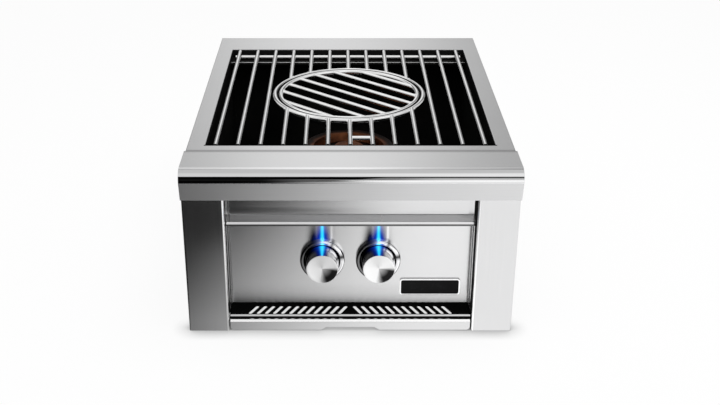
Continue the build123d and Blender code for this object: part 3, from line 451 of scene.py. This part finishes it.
def panel_steel():
    """Sideways grain, lit and shaded above the knobs and dark in the gap round each one."""
    tree = brushed("stainless_panel", ALONG_X, grey=0.74, rough_low=0.2, rough_high=0.24, anisotropy=0.85)
    left_at, left_wide = -0.0135, 0.0075
    centre_wide = 0.0125
    streak_at, streak_wide = 0.0145, 0.002
    rise, above = over_knobs(tree, PANEL_LIGHT_LOW)
    aside = tree.right_of_knob()
    left = tree.math("MULTIPLY", tree.bell(aside, left_at, left_wide), tree.span(rise, 1.15, 0.1, 0, 1))
    centre = tree.math("MULTIPLY", tree.bell(aside, 0.0, centre_wide), tree.span(rise, 1.3, 0.12, 0, 1))
    shade = tree.math("MINIMUM", tree.math("MAXIMUM", left, centre), 1.0)
    tree.darken(tree.math("MULTIPLY", shade, above), 0.02)
    streak = tree.bell(aside, streak_at, streak_wide)
    streak = tree.math("MULTIPLY", streak, tree.span(rise, 1.0, 0.7, 0, 1))
    tree.lighten(tree.math("MULTIPLY", streak, above), WHITE)
    radius, _ = tree.from_knob()
    tree.darken(tree.math("LESS_THAN", radius, BEZEL_BORE_R + 0.001), 0.03)
    glow_over_knobs(tree,
                    ((0.04, 0.82, 1.0), (0.0025, 0.0022), (1.0, 0.85)),
                    ((0.0, 0.06, 1.0), (0.0085, 0.004), (0.62, 0.08)))
    tree.bump(tree.eased_foot(VENT_SHELF_Z, reach=0.03, slope=0.25), strength=1.0, distance=1.0)
    return tree


def drip_steel():
    """Sideways grain, painted light ahead of the strip and on the shelf, growing to the right, and painted
    shade under its bevelled edge.
    """
    tree = brushed("stainless_drip", ALONG_X, grey=0.69, rough_low=0.14, rough_high=0.19, anisotropy=0.8)
    strip_front = STRIP_Y - 0.001
    bow_start, bow_slope = POST_INNER_X - 0.009, 0.11
    x = tree.axis("X")
    y = tree.axis("Y")
    ahead = tree.math("LESS_THAN", y, strip_front)
    strip = tree.math("SUBTRACT", 1.0, ahead)
    flat = tree.between(y, DRIP_EDGE_Y, strip_front)
    # Painted light: lighter ahead of the strip and lightest on the shelf
    tree.lighten(ahead, (0.74, 0.74, 0.745))
    tree.lighten(flat, (0.92, 0.92, 0.925))
    # Painted shade under the bevelled edge
    under = tree.math("LESS_THAN", tree.axis("Z"), DRIP_BEVEL_LOW_Z)
    tree.darken(tree.math("MULTIPLY", ahead, under), 0.2)
    # Painted light: the shelf loses its shine towards the right, so that it is lit brighter there
    painted_light_share = tree.math("MULTIPLY", flat, tree.step(x, -0.16, 0.1, 0.0, 0.3))
    tree.join(tree.math("SUBTRACT", 1.0, painted_light_share), tree.shader.inputs["Metallic"])
    bow = tree.math("MAXIMUM", tree.math("SUBTRACT", x, bow_start), 0.0)
    foot = tree.eased_foot(STRIP_FOOT_Z, reach=0.014, slope=0.14)
    height = tree.math("ADD", foot, tree.math("MULTIPLY", bow, bow_slope))
    tree.bump(tree.math("MULTIPLY", height, strip), strength=1.0, distance=1.0)
    return tree


def shelf_steel():
    """A shelf dark and without shine behind its bright front hem, shaded under the hem."""
    tree = brushed("stainless_shelf", ALONG_X, grey=0.6, rough_low=0.12, rough_high=0.16, anisotropy=0.3)
    behind = tree.math("GREATER_THAN", tree.axis("Y"), VENT_EDGE_Y + 0.0003)
    under = tree.math("LESS_THAN", tree.axis("Z"), VENT_HEM_Z + 0.0006)
    tree.dull(tree.math("MAXIMUM", behind, under), 0.006)
    return tree


def tray_steel():
    """Sideways grain with a painted highlight on the bevelled lip."""
    tree = brushed("stainless_tray", ALONG_X, grey=0.69, rough_low=0.16, rough_high=0.22, anisotropy=0.5)
    lip = tree.math("MULTIPLY", tree.math("GREATER_THAN", tree.axis("Z"), TRAY_LIP_Z),
                    tree.math("LESS_THAN", tree.axis("Y"), TRAY_LIP_Y))
    # Painted highlight on the lip
    tree.lighten(lip, PAINTED_HIGHLIGHT)
    return tree


def bezel_chrome():
    """Chrome shaded at the left and in two patches round the ring, dark in the bore, lit at the top."""
    tree = mottled("chrome", (0.9, 0.9, 0.91), (0.97, 0.97, 0.98),
                   rough_low=0.04, rough_high=0.08, scale=40, metallic=1.0)
    radius, height = tree.from_knob()
    aside = tree.right_of_knob()
    left = tree.step(aside, -0.012, 0.004, 1, 0)
    flank = tree.math("GREATER_THAN", tree.axis("Y"), BEZEL_CREST_Y - 0.0002)
    tree.darken(tree.math("MULTIPLY", left, flank), 0.03)
    tree.darken(left, 0.2)
    angle = tree.math("ARCTAN2", height, aside)
    for patch_at, patch_wide, patch_share in ((0.24, 0.14, 0.08), (1.08, 0.08, 0.3)):
        tree.darken(tree.bell(angle, patch_at, patch_wide), patch_share)
    tree.darken(tree.math("LESS_THAN", radius, BEZEL_BORE_R + 0.0004), 0.03)
    glow_over_knobs(tree,
                    ((0.15, 0.78, 1.0), (0.0026, 0.0026), (0.6, 0.6)),
                    ((0.26, 0.34, 1.0), (0.0085, 0.0085), (0.36, 0.36)))
    return tree


def knob_side():
    """Polished metal that keeps the shading and the blue light above while the knob turns."""
    tree = mottled("polished_side", (0.86, 0.86, 0.87), (0.94, 0.94, 0.95),
                   rough_low=0.06, rough_high=0.1, scale=50, metallic=1.0,
                   anchor=nodes["control_panel"])
    _, above = over_knobs(tree, SIDE_LIGHT_LOW)
    dark = tree.step(tree.right_of_knob(), 0.005, 0.012, 1, 0)
    tree.darken(tree.math("MULTIPLY", dark, above), 0.02)
    glow_over_knobs(tree,
                    ((0.04, 0.85, 1.0), (0.0036, 0.0016), (0.95, 0.75)),
                    ((0.0, 0.07, 1.0), (0.0085, 0.005), (0.6, 0.4)), low=SIDE_LIGHT_LOW,
                    along=tree.span(tree.axis("Y"), 1, 0, KNOB_FACE_Y, KNOB_SHOULDER_Y))
    return tree


def dark_liner():
    """Heat-darkened sheet with a painted highlight along its ledge edge."""
    tree = mottled("dark_liner", (0.004, 0.004, 0.004), (0.01, 0.0095, 0.009),
                   rough_low=0.5, rough_high=0.65, scale=14, metallic=0.0)
    tree.shader.inputs["Specular IOR Level"].default_value = 0.02
    half = 0.0015
    edge = tree.between(tree.axis("Y"), LEDGE_EDGE_Y - half, LEDGE_EDGE_Y + half)
    edge = tree.math("MULTIPLY", edge, tree.math("GREATER_THAN", tree.axis("Z"), LEDGE_Z - 0.0012))
    # Painted highlight along the ledge's edge
    tree.lighten(edge, (0.75, 0.75, 0.75))
    tree.join(edge, tree.shader.inputs["Metallic"])
    return tree


def rod_steel():
    """Polished rod, with painted shade between the two rings, under them and on the cut ends."""
    tree = mottled("polished_rod", (0.86, 0.86, 0.86), (0.96, 0.96, 0.96),
                   rough_low=0.06, rough_high=0.11, scale=60, metallic=1.0)
    ring_half = 0.0028
    radius = tree.from_grate()
    under = tree.math("MULTIPLY", tree.math("LESS_THAN", radius, MAIN_RING_R + 0.001),
                      tree.math("LESS_THAN", tree.axis("Z"), ROD_Z - 0.0032))
    gap = tree.between(radius, CENTRE_RING_R + ring_half, MAIN_RING_R - ring_half)
    end = tree.math("LESS_THAN", tree.axis("Y"), BAR_END_Y + 0.0003)
    # Painted shade in the gap, under the rings and on the cut ends
    tree.dull(tree.math("MAXIMUM", tree.math("MAXIMUM", under, gap), end), PAINTED_SHADE)
    return tree


def cap_brass():
    """Browned brass, darker towards the rim."""
    tree = mottled("browned_brass", (0.06, 0.02, 0.011), (0.32, 0.115, 0.05),
                   rough_low=0.3, rough_high=0.45, scale=45, metallic=1.0)
    darker_from, darker_to = 0.064, 0.074
    tree.darken(tree.step(tree.from_grate(), darker_from, darker_to, 0, 1), 0.08)
    return tree


def galvanised():
    """Dull sheet with a faint spangle."""
    tree = metal("galvanised_sheet", roughness=0.4)
    cells = tree.add("ShaderNodeTexVoronoi")
    cells.inputs["Scale"].default_value = 70
    tree.join(tree.place(), cells.inputs["Vector"])
    grey = tree.add("ShaderNodeRGBToBW")
    tree.join(cells.outputs["Color"], grey.inputs["Color"])
    cloud = tree.noise(12)
    mixed = tree.math("MULTIPLY", tree.math("ADD", grey.outputs["Val"], cloud), 0.5)
    tree.paint(tree.shade(mixed, (0.5, 0.51, 0.52), (0.62, 0.63, 0.64)))
    tree.join(tree.span(mixed, 0.34, 0.46), tree.shader.inputs["Roughness"])
    return tree


def mottled(name, dark, light, rough_low, rough_high, scale, metallic, bump=0.0, anchor=None):
    """A surface with cloudy colour, cloudy gloss and, if asked, a grain."""
    tree = metal(name, rough_low, anchor=anchor)
    tree.shader.inputs["Metallic"].default_value = metallic
    cloud = tree.noise(scale, detail=4)
    tree.paint(tree.shade(cloud, dark, light))
    tree.join(tree.span(cloud, rough_low, rough_high), tree.shader.inputs["Roughness"])
    if bump:
        tree.bump(tree.noise(scale * 12, detail=2), bump, GRAIN_DEPTH)
    return tree


def spun():
    """Turned metal: rings about the knob's own axis, with reflections blurred along the radius."""
    tree = metal("spun_face", roughness=0.24, anisotropy=0.8)
    ring_scale = 2600
    sector_start, sector_end = (-1.82, -1.18), (-0.18, 0.2)
    x = tree.axis("X")
    z = tree.axis("Z")
    radius = tree.length(x, z)
    rings = tree.add("ShaderNodeTexNoise", noise_dimensions="1D")
    rings.inputs["Scale"].default_value = ring_scale
    rings.inputs["Detail"].default_value = 3
    tree.join(radius, rings.inputs["W"])
    tree.paint(tree.shade(rings.outputs["Fac"], (0.92, 0.92, 0.925), WHITE))
    # Painted reflection: a dark sector at the lower right, deepest towards the rim, and a slight shade near
    # the top
    angle = tree.math("ARCTAN2", z, x)
    sector = tree.math("MULTIPLY", tree.step(angle, *sector_start, 0, 1), tree.step(angle, *sector_end, 1, 0))
    depth = tree.span(radius, 0.4, 0.985, 0.001, 0.016)
    tree.darken(tree.math("MULTIPLY", sector, depth), 0.01)
    tree.darken(tree.bell(angle, 1.75, 0.8), 0.8)
    tangent = tree.add("ShaderNodeTangent", direction_type="RADIAL", axis="Y")
    tree.join(tangent.outputs["Tangent"], tree.shader.inputs["Tangent"])
    tree.shader.inputs["Anisotropic Rotation"].default_value = 0.25
    return tree


def lit():
    """Clear plastic lit from behind."""
    tree = Tree("lit_guide")
    cloud = tree.noise(400, detail=2)
    tree.join(tree.shade(cloud, (0.05, 0.68, 1.0), (0.12, 0.78, 1.0)), tree.shader.inputs["Emission Color"])
    tree.shader.inputs["Emission Strength"].default_value = 0.85
    tree.shader.inputs["Base Color"].default_value = (0.05, 0.3, 0.4, 1)
    tree.shader.inputs["Roughness"].default_value = 0.2
    return tree


finishes = {
    "stainless": sheet_steel(),
    "galvanised": galvanised(),
    "firebox_liner": dark_liner(),
    "grate_rod": rod_steel(),
    "burner_cast": mottled("cast_iron", (0.02, 0.018, 0.016), (0.05, 0.042, 0.038),
                           rough_low=0.55, rough_high=0.75, scale=40, metallic=0.4, bump=0.5),
    "burner_brass": cap_brass(),
    "plain_steel": mottled("plain_steel", (0.2, 0.2, 0.205), (0.3, 0.3, 0.305),
                           rough_low=0.35, rough_high=0.5, scale=30, metallic=1.0),
    "valve_body": mottled("cast_aluminium", (0.6, 0.6, 0.62), (0.72, 0.72, 0.74),
                          rough_low=0.38, rough_high=0.5, scale=60, metallic=1.0, bump=0.3),
    "fitting_brass": mottled("machined_brass", (0.66, 0.48, 0.22), (0.78, 0.6, 0.32),
                             rough_low=0.22, rough_high=0.34, scale=50, metallic=1.0),
    "steel_hardware": mottled("zinc_plate", (0.5, 0.5, 0.51), (0.62, 0.62, 0.63),
                              rough_low=0.25, rough_high=0.4, scale=80, metallic=1.0),
    "igniter_ceramic": mottled("white_ceramic", (0.78, 0.76, 0.7), (0.86, 0.84, 0.8),
                               rough_low=0.5, rough_high=0.65, scale=80, metallic=0.0, bump=0.1),
    "module_plastic": mottled("moulded_black", (0.02, 0.02, 0.022), (0.035, 0.035, 0.038),
                              rough_low=0.4, rough_high=0.55, scale=60, metallic=0.0, bump=0.2),
    "knob_metal": knob_side(),
    "bezel_chrome": bezel_chrome(),
    "light_guide": lit(),
    "badge_black": mottled("black_enamel", (0.003, 0.003, 0.0035), (0.008, 0.008, 0.009),
                           rough_low=0.2, rough_high=0.3, scale=60, metallic=0.0),
}
finishes["badge_black"].shader.inputs["Specular IOR Level"].default_value = 0.08
special = {
    "bullnose": bullnose_steel(),
    "left_post": post_steel("stainless_left_post", "left"),
    "right_post": post_steel("stainless_right_post", "right"),
    "control_panel": panel_steel(),
    "drip_shelf": drip_steel(),
    "drip_tray": tray_steel(),
    "top_frame": frame_steel(),
    "vent_shelf": shelf_steel(),
}
slot_of = {part["node"]: part["material_slot"] for part in frame["record"]["subparts"]}
for name, piece in nodes.items():
    tree = special.get(name) or finishes[slot_of[name]]
    for material_slot in piece.material_slots:
        material_slot.material = tree.material


def new_piece(name, vertices, faces):
    """A mesh object in the scene."""
    mesh = bpy.data.meshes.new(name)
    mesh.from_pydata(vertices, [], faces)
    piece = bpy.data.objects.new(name, mesh)
    scene.collection.objects.link(piece)
    return piece


# Knobs

KNOB_SEGMENTS = 128
KNOB_STEP = 0.0004
KNOB_LIP = 0.002
KNOB_WALL = 0.003
KNOB_CAP = 0.008
KNOB_HUB_R = 0.009
KNOB_HUB_INSET = 0.002
KNOB_BORE_R = 0.00405
KNOB_BORE_END = 0.010
FACE_STEPS, EDGE_STEPS, SIDE_STEPS = 8, 4, 6
FACE, SIDE = 0, 1
spun_face = spun()


def turned(name, profile, segments, axis_x, axis_z):
    """A mesh turned about an axis along Y, from rows of radius, Y and the number of the band's material."""
    vertices = []
    faces = []
    bands = []
    rings = []
    for radius, y, _ in profile:
        if radius == 0:
            vertices.append((0, y, 0))
            rings.append([len(vertices) - 1])
            continue
        start = len(vertices)
        for step in range(segments):
            angle = 2 * math.pi * step / segments
            vertices.append((radius * math.cos(angle), y, radius * math.sin(angle)))
        rings.append(list(range(start, start + segments)))
    for (first, second), (_, _, band) in zip(zip(rings, rings[1:]), profile[1:]):
        for step in range(segments):
            after = (step + 1) % segments
            if len(first) == 1:
                faces.append((first[0], second[after], second[step]))
            elif len(second) == 1:
                faces.append((first[step], first[after], second[0]))
            else:
                faces.append((first[step], first[after], second[after], second[step]))
            bands.append(band)
    piece = new_piece(name, vertices, faces)
    piece.data.polygons.foreach_set("material_index", bands)
    piece.data.shade_smooth()
    piece.data.set_sharp_from_angle(angle=math.radians(40))
    piece.location = (axis_x, 0, axis_z)
    return piece


def make_knob(side, x):
    """A cup with a dished face, a neck that clears the light guide, and a bored hub."""
    rim = KNOB_FACE_R - KNOB_EDGE
    profile = [(0, KNOB_FACE_Y + KNOB_DISH, FACE)]
    for step in range(1, FACE_STEPS + 1):
        share = step / FACE_STEPS
        profile.append((rim * share, KNOB_FACE_Y + KNOB_DISH * (1 - share ** 2), FACE))
    for step in range(1, EDGE_STEPS + 1):
        angle = math.radians(90 * step / EDGE_STEPS)
        y = KNOB_FACE_Y + KNOB_EDGE * (1 - math.cos(angle))
        profile.append((rim + KNOB_EDGE * math.sin(angle), y, SIDE))
    for step in range(1, SIDE_STEPS + 1):
        share = step / SIDE_STEPS
        y = KNOB_FACE_Y + KNOB_EDGE + (KNOB_SHOULDER_Y - KNOB_FACE_Y - KNOB_EDGE) * share
        profile.append((KNOB_FACE_R + (KNOB_SHOULDER_R - KNOB_FACE_R) * share, y, SIDE))
    cap_y = KNOB_FACE_Y + KNOB_CAP
    hub_y = KNOB_BACK_Y - KNOB_HUB_INSET
    bore_y = KNOB_FACE_Y + KNOB_BORE_END
    behind = (
        (KNOB_NECK_R, KNOB_SHOULDER_Y + KNOB_STEP),
        (KNOB_NECK_R, KNOB_BACK_Y),
        (KNOB_NECK_R - KNOB_LIP, KNOB_BACK_Y),
        (KNOB_FACE_R - KNOB_WALL, cap_y),
        (KNOB_HUB_R, cap_y),
        (KNOB_HUB_R, hub_y),
        (KNOB_BORE_R, hub_y),
        (KNOB_BORE_R, bore_y),
        (0, bore_y),
    )
    profile += [(radius, y, SIDE) for radius, y in behind]
    knob = turned(side + "_turned_knob", profile, KNOB_SEGMENTS, x, KNOB_Z)
    knob.data.materials.append(spun_face.material)
    knob.data.materials.append(finishes["knob_metal"].material)
    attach(knob, side + "_knob")
    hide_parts(side + "_knob")


make_knob("left", -KNOB_X)
make_knob("right", KNOB_X)


# Return springs

SPRING_R = 0.0065
SPRING_WIRE_R = 0.0007
SPRING_TURNS = 5
SPRING_CLOSED = 0.0015
SPRING_POINTS = 10
SPRING_STEPS = 28 * SPRING_TURNS


def make_spring(side, hand):
    """A coil with closed end turns, between the pushed washer and the end of the valve's chamber."""
    low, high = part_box(side + "_return_spring")
    x = (low[0] + high[0]) / 2
    front = low[1] + SPRING_WIRE_R
    back = high[1] - SPRING_WIRE_R
    pitch = (back - front - 2 * SPRING_CLOSED) / (SPRING_TURNS - 2)
    vertices = []
    faces = []
    for step in range(SPRING_STEPS + 1):
        turn = SPRING_TURNS * step / SPRING_STEPS
        y = front + SPRING_CLOSED * min(turn, 1) + pitch * min(max(turn - 1, 0), SPRING_TURNS - 2)
        y += SPRING_CLOSED * max(turn - SPRING_TURNS + 1, 0)
        angle = hand * 2 * math.pi * turn
        for point in range(SPRING_POINTS):
            tilt = 2 * math.pi * point / SPRING_POINTS
            radius = SPRING_R + SPRING_WIRE_R * math.cos(tilt)
            vertices.append((x + radius * math.cos(angle), y + SPRING_WIRE_R * math.sin(tilt),
                             KNOB_Z + radius * math.sin(angle)))
    for step in range(SPRING_STEPS):
        for point in range(SPRING_POINTS):
            after = (point + 1) % SPRING_POINTS
            here = step * SPRING_POINTS
            ahead = here + SPRING_POINTS
            faces.append((here + point, here + after, ahead + after, ahead + point))
    end = SPRING_STEPS * SPRING_POINTS
    faces.append(tuple(reversed(range(SPRING_POINTS))))
    faces.append(tuple(range(end, end + SPRING_POINTS)))
    if hand < 0:
        faces = [tuple(reversed(face)) for face in faces]
    spring = new_piece(side + "_coil_spring", vertices, faces)
    spring.data.shade_smooth()
    metal_slot = slot_of[side + "_return_spring"]
    spring.data.materials.append(finishes[metal_slot].material)
    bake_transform(spring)
    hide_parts(side + "_return_spring")


make_spring("left", -1)
make_spring("right", 1)


# Weld beads where the grate's rods meet its rings


def beads(name, body, places, phase):
    """Small uneven beads of weld, joined in one mesh."""
    around, rings = 12, 6
    vertices = []
    faces = []
    for number, (x, y, turn) in enumerate(places):
        start = len(vertices)
        swell = 1 + BEAD_SWELL * math.sin(2.4 * number + phase)
        for ring in range(1, rings):
            tilt = math.pi * ring / rings
            for step in range(around):
                angle = 2 * math.pi * step / around
                lump = swell * (1 + BEAD_LUMP * math.sin(3 * angle + number) * math.sin(2 * tilt + phase))
                along = BEAD_LONG * lump * math.sin(tilt) * math.cos(angle)
                aside = BEAD_WIDE * lump * math.sin(tilt) * math.sin(angle)
                vertices.append((x + along * math.cos(turn) - aside * math.sin(turn),
                                 y + along * math.sin(turn) + aside * math.cos(turn),
                                 ROD_Z + BEAD_RISE + BEAD_TALL * lump * math.cos(tilt)))
        for ring in range(rings - 2):
            for step in range(around):
                after = (step + 1) % around
                low = start + ring * around
                high = low + around
                faces.append((low + step, high + step, high + after, low + after))
        last = start + (rings - 2) * around
        faces.append(tuple(start + step for step in range(around)))
        faces.append(tuple(last + around - 1 - step for step in range(around)))
    piece = new_piece(name, vertices, faces)
    piece.data.shade_smooth()
    piece.data.materials.append(finishes["grate_rod"].material)
    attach(piece, body)


def weld_places(reach, pitch, bar_r, bar_way, off_way):
    """Where seven bars meet a ring, on both sides of both ends, each with the angle of its way outwards."""
    places = []
    for bar in range(-3, 4):
        for end in (-1, 1):
            for side in (-1, 1):
                off = bar * pitch + side * (bar_r + WELD_GAP)
                along = end * math.sqrt(reach ** 2 - off ** 2)
                x = along * bar_way[0] + off * off_way[0]
                y = along * bar_way[1] + off * off_way[1]
                places.append((x, GRATE_Y + y, math.atan2(y, x)))
    return places


cosine, sine = math.cos(CENTRE_BAR_TURN), math.sin(CENTRE_BAR_TURN)
main_welds = weld_places(MAIN_RING_R + ROD_R - WELD_INSET, BAR_PITCH, BAR_R, (0, 1), (1, 0))
centre_welds = weld_places(CENTRE_RING_R - ROD_R + WELD_INSET, CENTRE_BAR_PITCH, CENTRE_BAR_R,
                           (cosine, sine), (-sine, cosine))
beads("main_grate_welds", "main_grate", main_welds, 0.4)
beads("centre_grate_welds", "centre_grate", centre_welds, 1.7)


# Floor, reflection card and light

FLOOR_HALF = 12
FLOOR_GREY = 0.82
FLOOR_SEEN_SHARE = 0.9
CONTACT_REACH = 0.03
UNDER_SHARE = 0.8
UNDER_START_Y = -0.295
UNDER_FULL_Y = -0.275


def flat_sheet(name, back_y, z):
    """A level sheet as wide as the floor, from its front edge back to a line."""
    corners = [(-FLOOR_HALF, -FLOOR_HALF, z), (FLOOR_HALF, -FLOOR_HALF, z),
               (FLOOR_HALF, back_y, z), (-FLOOR_HALF, back_y, z)]
    sheet = new_piece(name, corners, [(0, 1, 2, 3)])
    return sheet


floor = flat_sheet("floor", FLOOR_HALF, 0)
floor_tree = Tree("pale_floor")
floor_tree.shader.inputs["Base Color"].default_value = (FLOOR_GREY, FLOOR_GREY, FLOOR_GREY, 1)
floor_tree.shader.inputs["Roughness"].default_value = 0.9
floor_tree.shader.inputs["Specular IOR Level"].default_value = 0.0
near = floor_tree.add("ShaderNodeAmbientOcclusion", samples=16)
near.inputs["Distance"].default_value = CONTACT_REACH
below = floor_tree.step(floor_tree.axis("Y"), UNDER_START_Y, UNDER_FULL_Y, 0.0, 1.0)
open_share = floor_tree.math("MAXIMUM", near.outputs["AO"], floor_tree.math("MULTIPLY", below, UNDER_SHARE))
glow = floor_tree.add("ShaderNodeEmission")
floor_tree.join(open_share, glow.inputs["Strength"])
rays = floor_tree.add("ShaderNodeLightPath")
seen = floor_tree.math("MAXIMUM", rays.outputs["Is Camera Ray"], rays.outputs["Is Glossy Ray"])
seen = floor_tree.math("MAXIMUM", seen, rays.outputs["Is Transmission Ray"])
blend = floor_tree.add("ShaderNodeMixShader")
floor_tree.join(floor_tree.math("MULTIPLY", seen, FLOOR_SEEN_SHARE), blend.inputs["Fac"])
floor_tree.join(floor_tree.shader.outputs["BSDF"], blend.inputs[1])
floor_tree.join(glow.outputs["Emission"], blend.inputs[2])
floor_tree.join(blend.outputs["Shader"], floor_tree.nodes["Material Output"].inputs["Surface"])
floor.data.materials.append(floor_tree.material)

# A card on the floor that only reflections show, dark to the left and white to the right. The change is
# wide near the part, sharper farther off, and wider again in the last zone.
CARD_NEAR_Y = -0.36
CARD_MIDDLE_Y = -0.58
CARD_FAR_Y = -0.93
CARD_END_Y = -1.5
CARD_Z = 0.0004
CARD_DARK = 0.02
LAST_ZONE_WIDER = 0.32
LAST_ZONE_SHIFT = 0.096
card = flat_sheet("reflection_card", POST_FACE_Y - 0.0003, CARD_Z)
card.visible_camera = False
card.visible_diffuse = False
card.visible_shadow = False
card.visible_transmission = False
card_tree = Tree("grey_scale_card")
card_y = card_tree.axis("Y")
last_zone = card_tree.between(card_y, CARD_END_Y, CARD_FAR_Y - 0.02)
width = card_tree.span(card_y, 0.54, 0.17, CARD_MIDDLE_Y, CARD_FAR_Y)
width = card_tree.math("ADD", width, card_tree.math("MULTIPLY", last_zone, LAST_ZONE_WIDER))
middle = card_tree.span(card_y, -0.14, 0.036, CARD_NEAR_Y, CARD_FAR_Y)
middle = card_tree.math("SUBTRACT", middle, card_tree.math("MULTIPLY", last_zone, LAST_ZONE_SHIFT))
white_level = card_tree.step(card_y, CARD_END_Y - 0.15, CARD_END_Y, 1.4, 1.1)
offset = card_tree.math("DIVIDE", card_tree.math("SUBTRACT", card_tree.axis("X"), middle), width)
ramp = card_tree.step(offset, -0.5, 0.5, 0.0, 1.0)
card_level = card_tree.math("ADD", card_tree.math("MULTIPLY", ramp, white_level), CARD_DARK)
light = card_tree.add("ShaderNodeEmission")
card_tree.join(card_level, light.inputs["Strength"])
card_tree.join(light.outputs["Emission"], card_tree.nodes["Material Output"].inputs["Surface"])
card.data.materials.append(card_tree.material)

world = bpy.data.worlds.new("studio")
scene.world = world
world.use_nodes = True
sky = Nodes(world.node_tree)
sky.nodes.clear()


def sky_step(value, low_deg, high_deg, to_low, to_high):
    """Ease between two numbers as the sine of an angle passes between two angles."""
    low_sine, high_sine = (math.sin(math.radians(angle)) for angle in (low_deg, high_deg))
    return sky.step(value, low_sine, high_sine, to_low, to_high)


def sky_mix(first, second, share):
    """The first level where the share is 0, the second where it is 1."""
    rest = sky.math("SUBTRACT", 1.0, share)
    return sky.math("ADD", sky.math("MULTIPLY", first, rest), sky.math("MULTIPLY", second, share))


aim = sky.add("ShaderNodeTexCoord").outputs["Generated"]
parts = sky.add("ShaderNodeSeparateXYZ")
sky.join(aim, parts.inputs["Vector"])
right, back, up = (parts.outputs[axis] for axis in "XYZ")
aside = sky.math("DIVIDE", right, sky.math("MAXIMUM", sky.length(right, back), 0.001))

# Front of the studio: dim in the middle and lighter to the sides, with white cards low at the right and a
# light ceiling
low_card = sky.math("MULTIPLY", sky_step(aside, -4, 9, 0, 1.35), sky_step(up, 4, 12, 1, 0))
mid_card = sky.math("MULTIPLY", sky_step(aside, 1.5, 6, 0, 0.8), sky_step(up, 17, 24, 1, 0))
far_aside = sky_step(sky.math("ABSOLUTE", aside), 14, 26, 0.3, 0.75)
low_front = sky.math("MAXIMUM", sky.math("MAXIMUM", low_card, mid_card), far_aside)
front = sky_mix(low_front, sky_step(aside, -8, 10, 1.1, 1.35), sky_step(up, 31, 37, 0, 1))

# Back of the studio: a wall that is lightest in the middle, dim beside it and pale far to the sides, with a
# lighter band above
off_middle = sky.math("ABSOLUTE", sky.math("ADD", aside, 0.012))
wall = sky.math("MULTIPLY", sky_step(off_middle, 0, 12, 1.22, 0.66), sky_step(off_middle, 12, 20, 1, 0.35))
wall = sky.math("MAXIMUM", wall, sky_step(off_middle, 28, 42, 0, 0.8))
above = sky.math("MULTIPLY", sky_step(up, 36, 42, 0, 1), sky_step(up, 56, 66, 1, 0.4))
above = sky.math("MULTIPLY", above, sky_step(aside, 3, 9, 0.55, 0.3))
rear = sky.math("ADD", wall, above)

level = sky_mix(rear, front, sky_step(back, -7, 7, 1, 0))
level = sky_mix(level, 0.9, sky_step(up, 62, 74, 0, 1))
studio = sky.add("ShaderNodeBackground")
sky.join(level, studio.inputs["Strength"])
white = sky.add("ShaderNodeBackground")
white.inputs["Color"].default_value = (1, 1, 1, 1)
white.inputs["Strength"].default_value = 1.0
choose = sky.add("ShaderNodeMixShader")
path = sky.add("ShaderNodeLightPath")
sky.join(path.outputs["Is Camera Ray"], choose.inputs["Fac"])
sky.join(studio.outputs["Background"], choose.inputs[1])
sky.join(white.outputs["Background"], choose.inputs[2])
output = sky.add("ShaderNodeOutputWorld")
sky.join(choose.outputs["Shader"], output.inputs["Surface"])


def soft_lamp(name, place, target, size_x, size_y, power):
    lamp = bpy.data.lights.new(name, "AREA")
    lamp.shape = "RECTANGLE"
    lamp.size = size_x
    lamp.size_y = size_y
    lamp.energy = power
    holder = bpy.data.objects.new(name, lamp)
    holder.location = place
    holder.rotation_euler = (Vector(target) - Vector(place)).to_track_quat("-Z", "Y").to_euler()
    holder.visible_glossy = False
    scene.collection.objects.link(holder)


soft_lamp("overhead_softbox", place=(0.3, -0.2, 2.0), target=(0, 0, 0.15), size_x=1.8, size_y=1.2, power=22)


# Camera

camera_data = bpy.data.cameras.new("camera")
camera_data.sensor_width = 36
camera_data.lens = 53.946
camera_data.shift_x = 0.0307
camera_data.shift_y = 0.0003
camera = bpy.data.objects.new("camera", camera_data)
camera.location = (-0.01957, -1.78391, 0.92448)
camera.rotation_euler = (math.radians(64.39), 0, 0)
scene.collection.objects.link(camera)
scene.camera = camera
scene.view_settings.view_transform = "Standard"
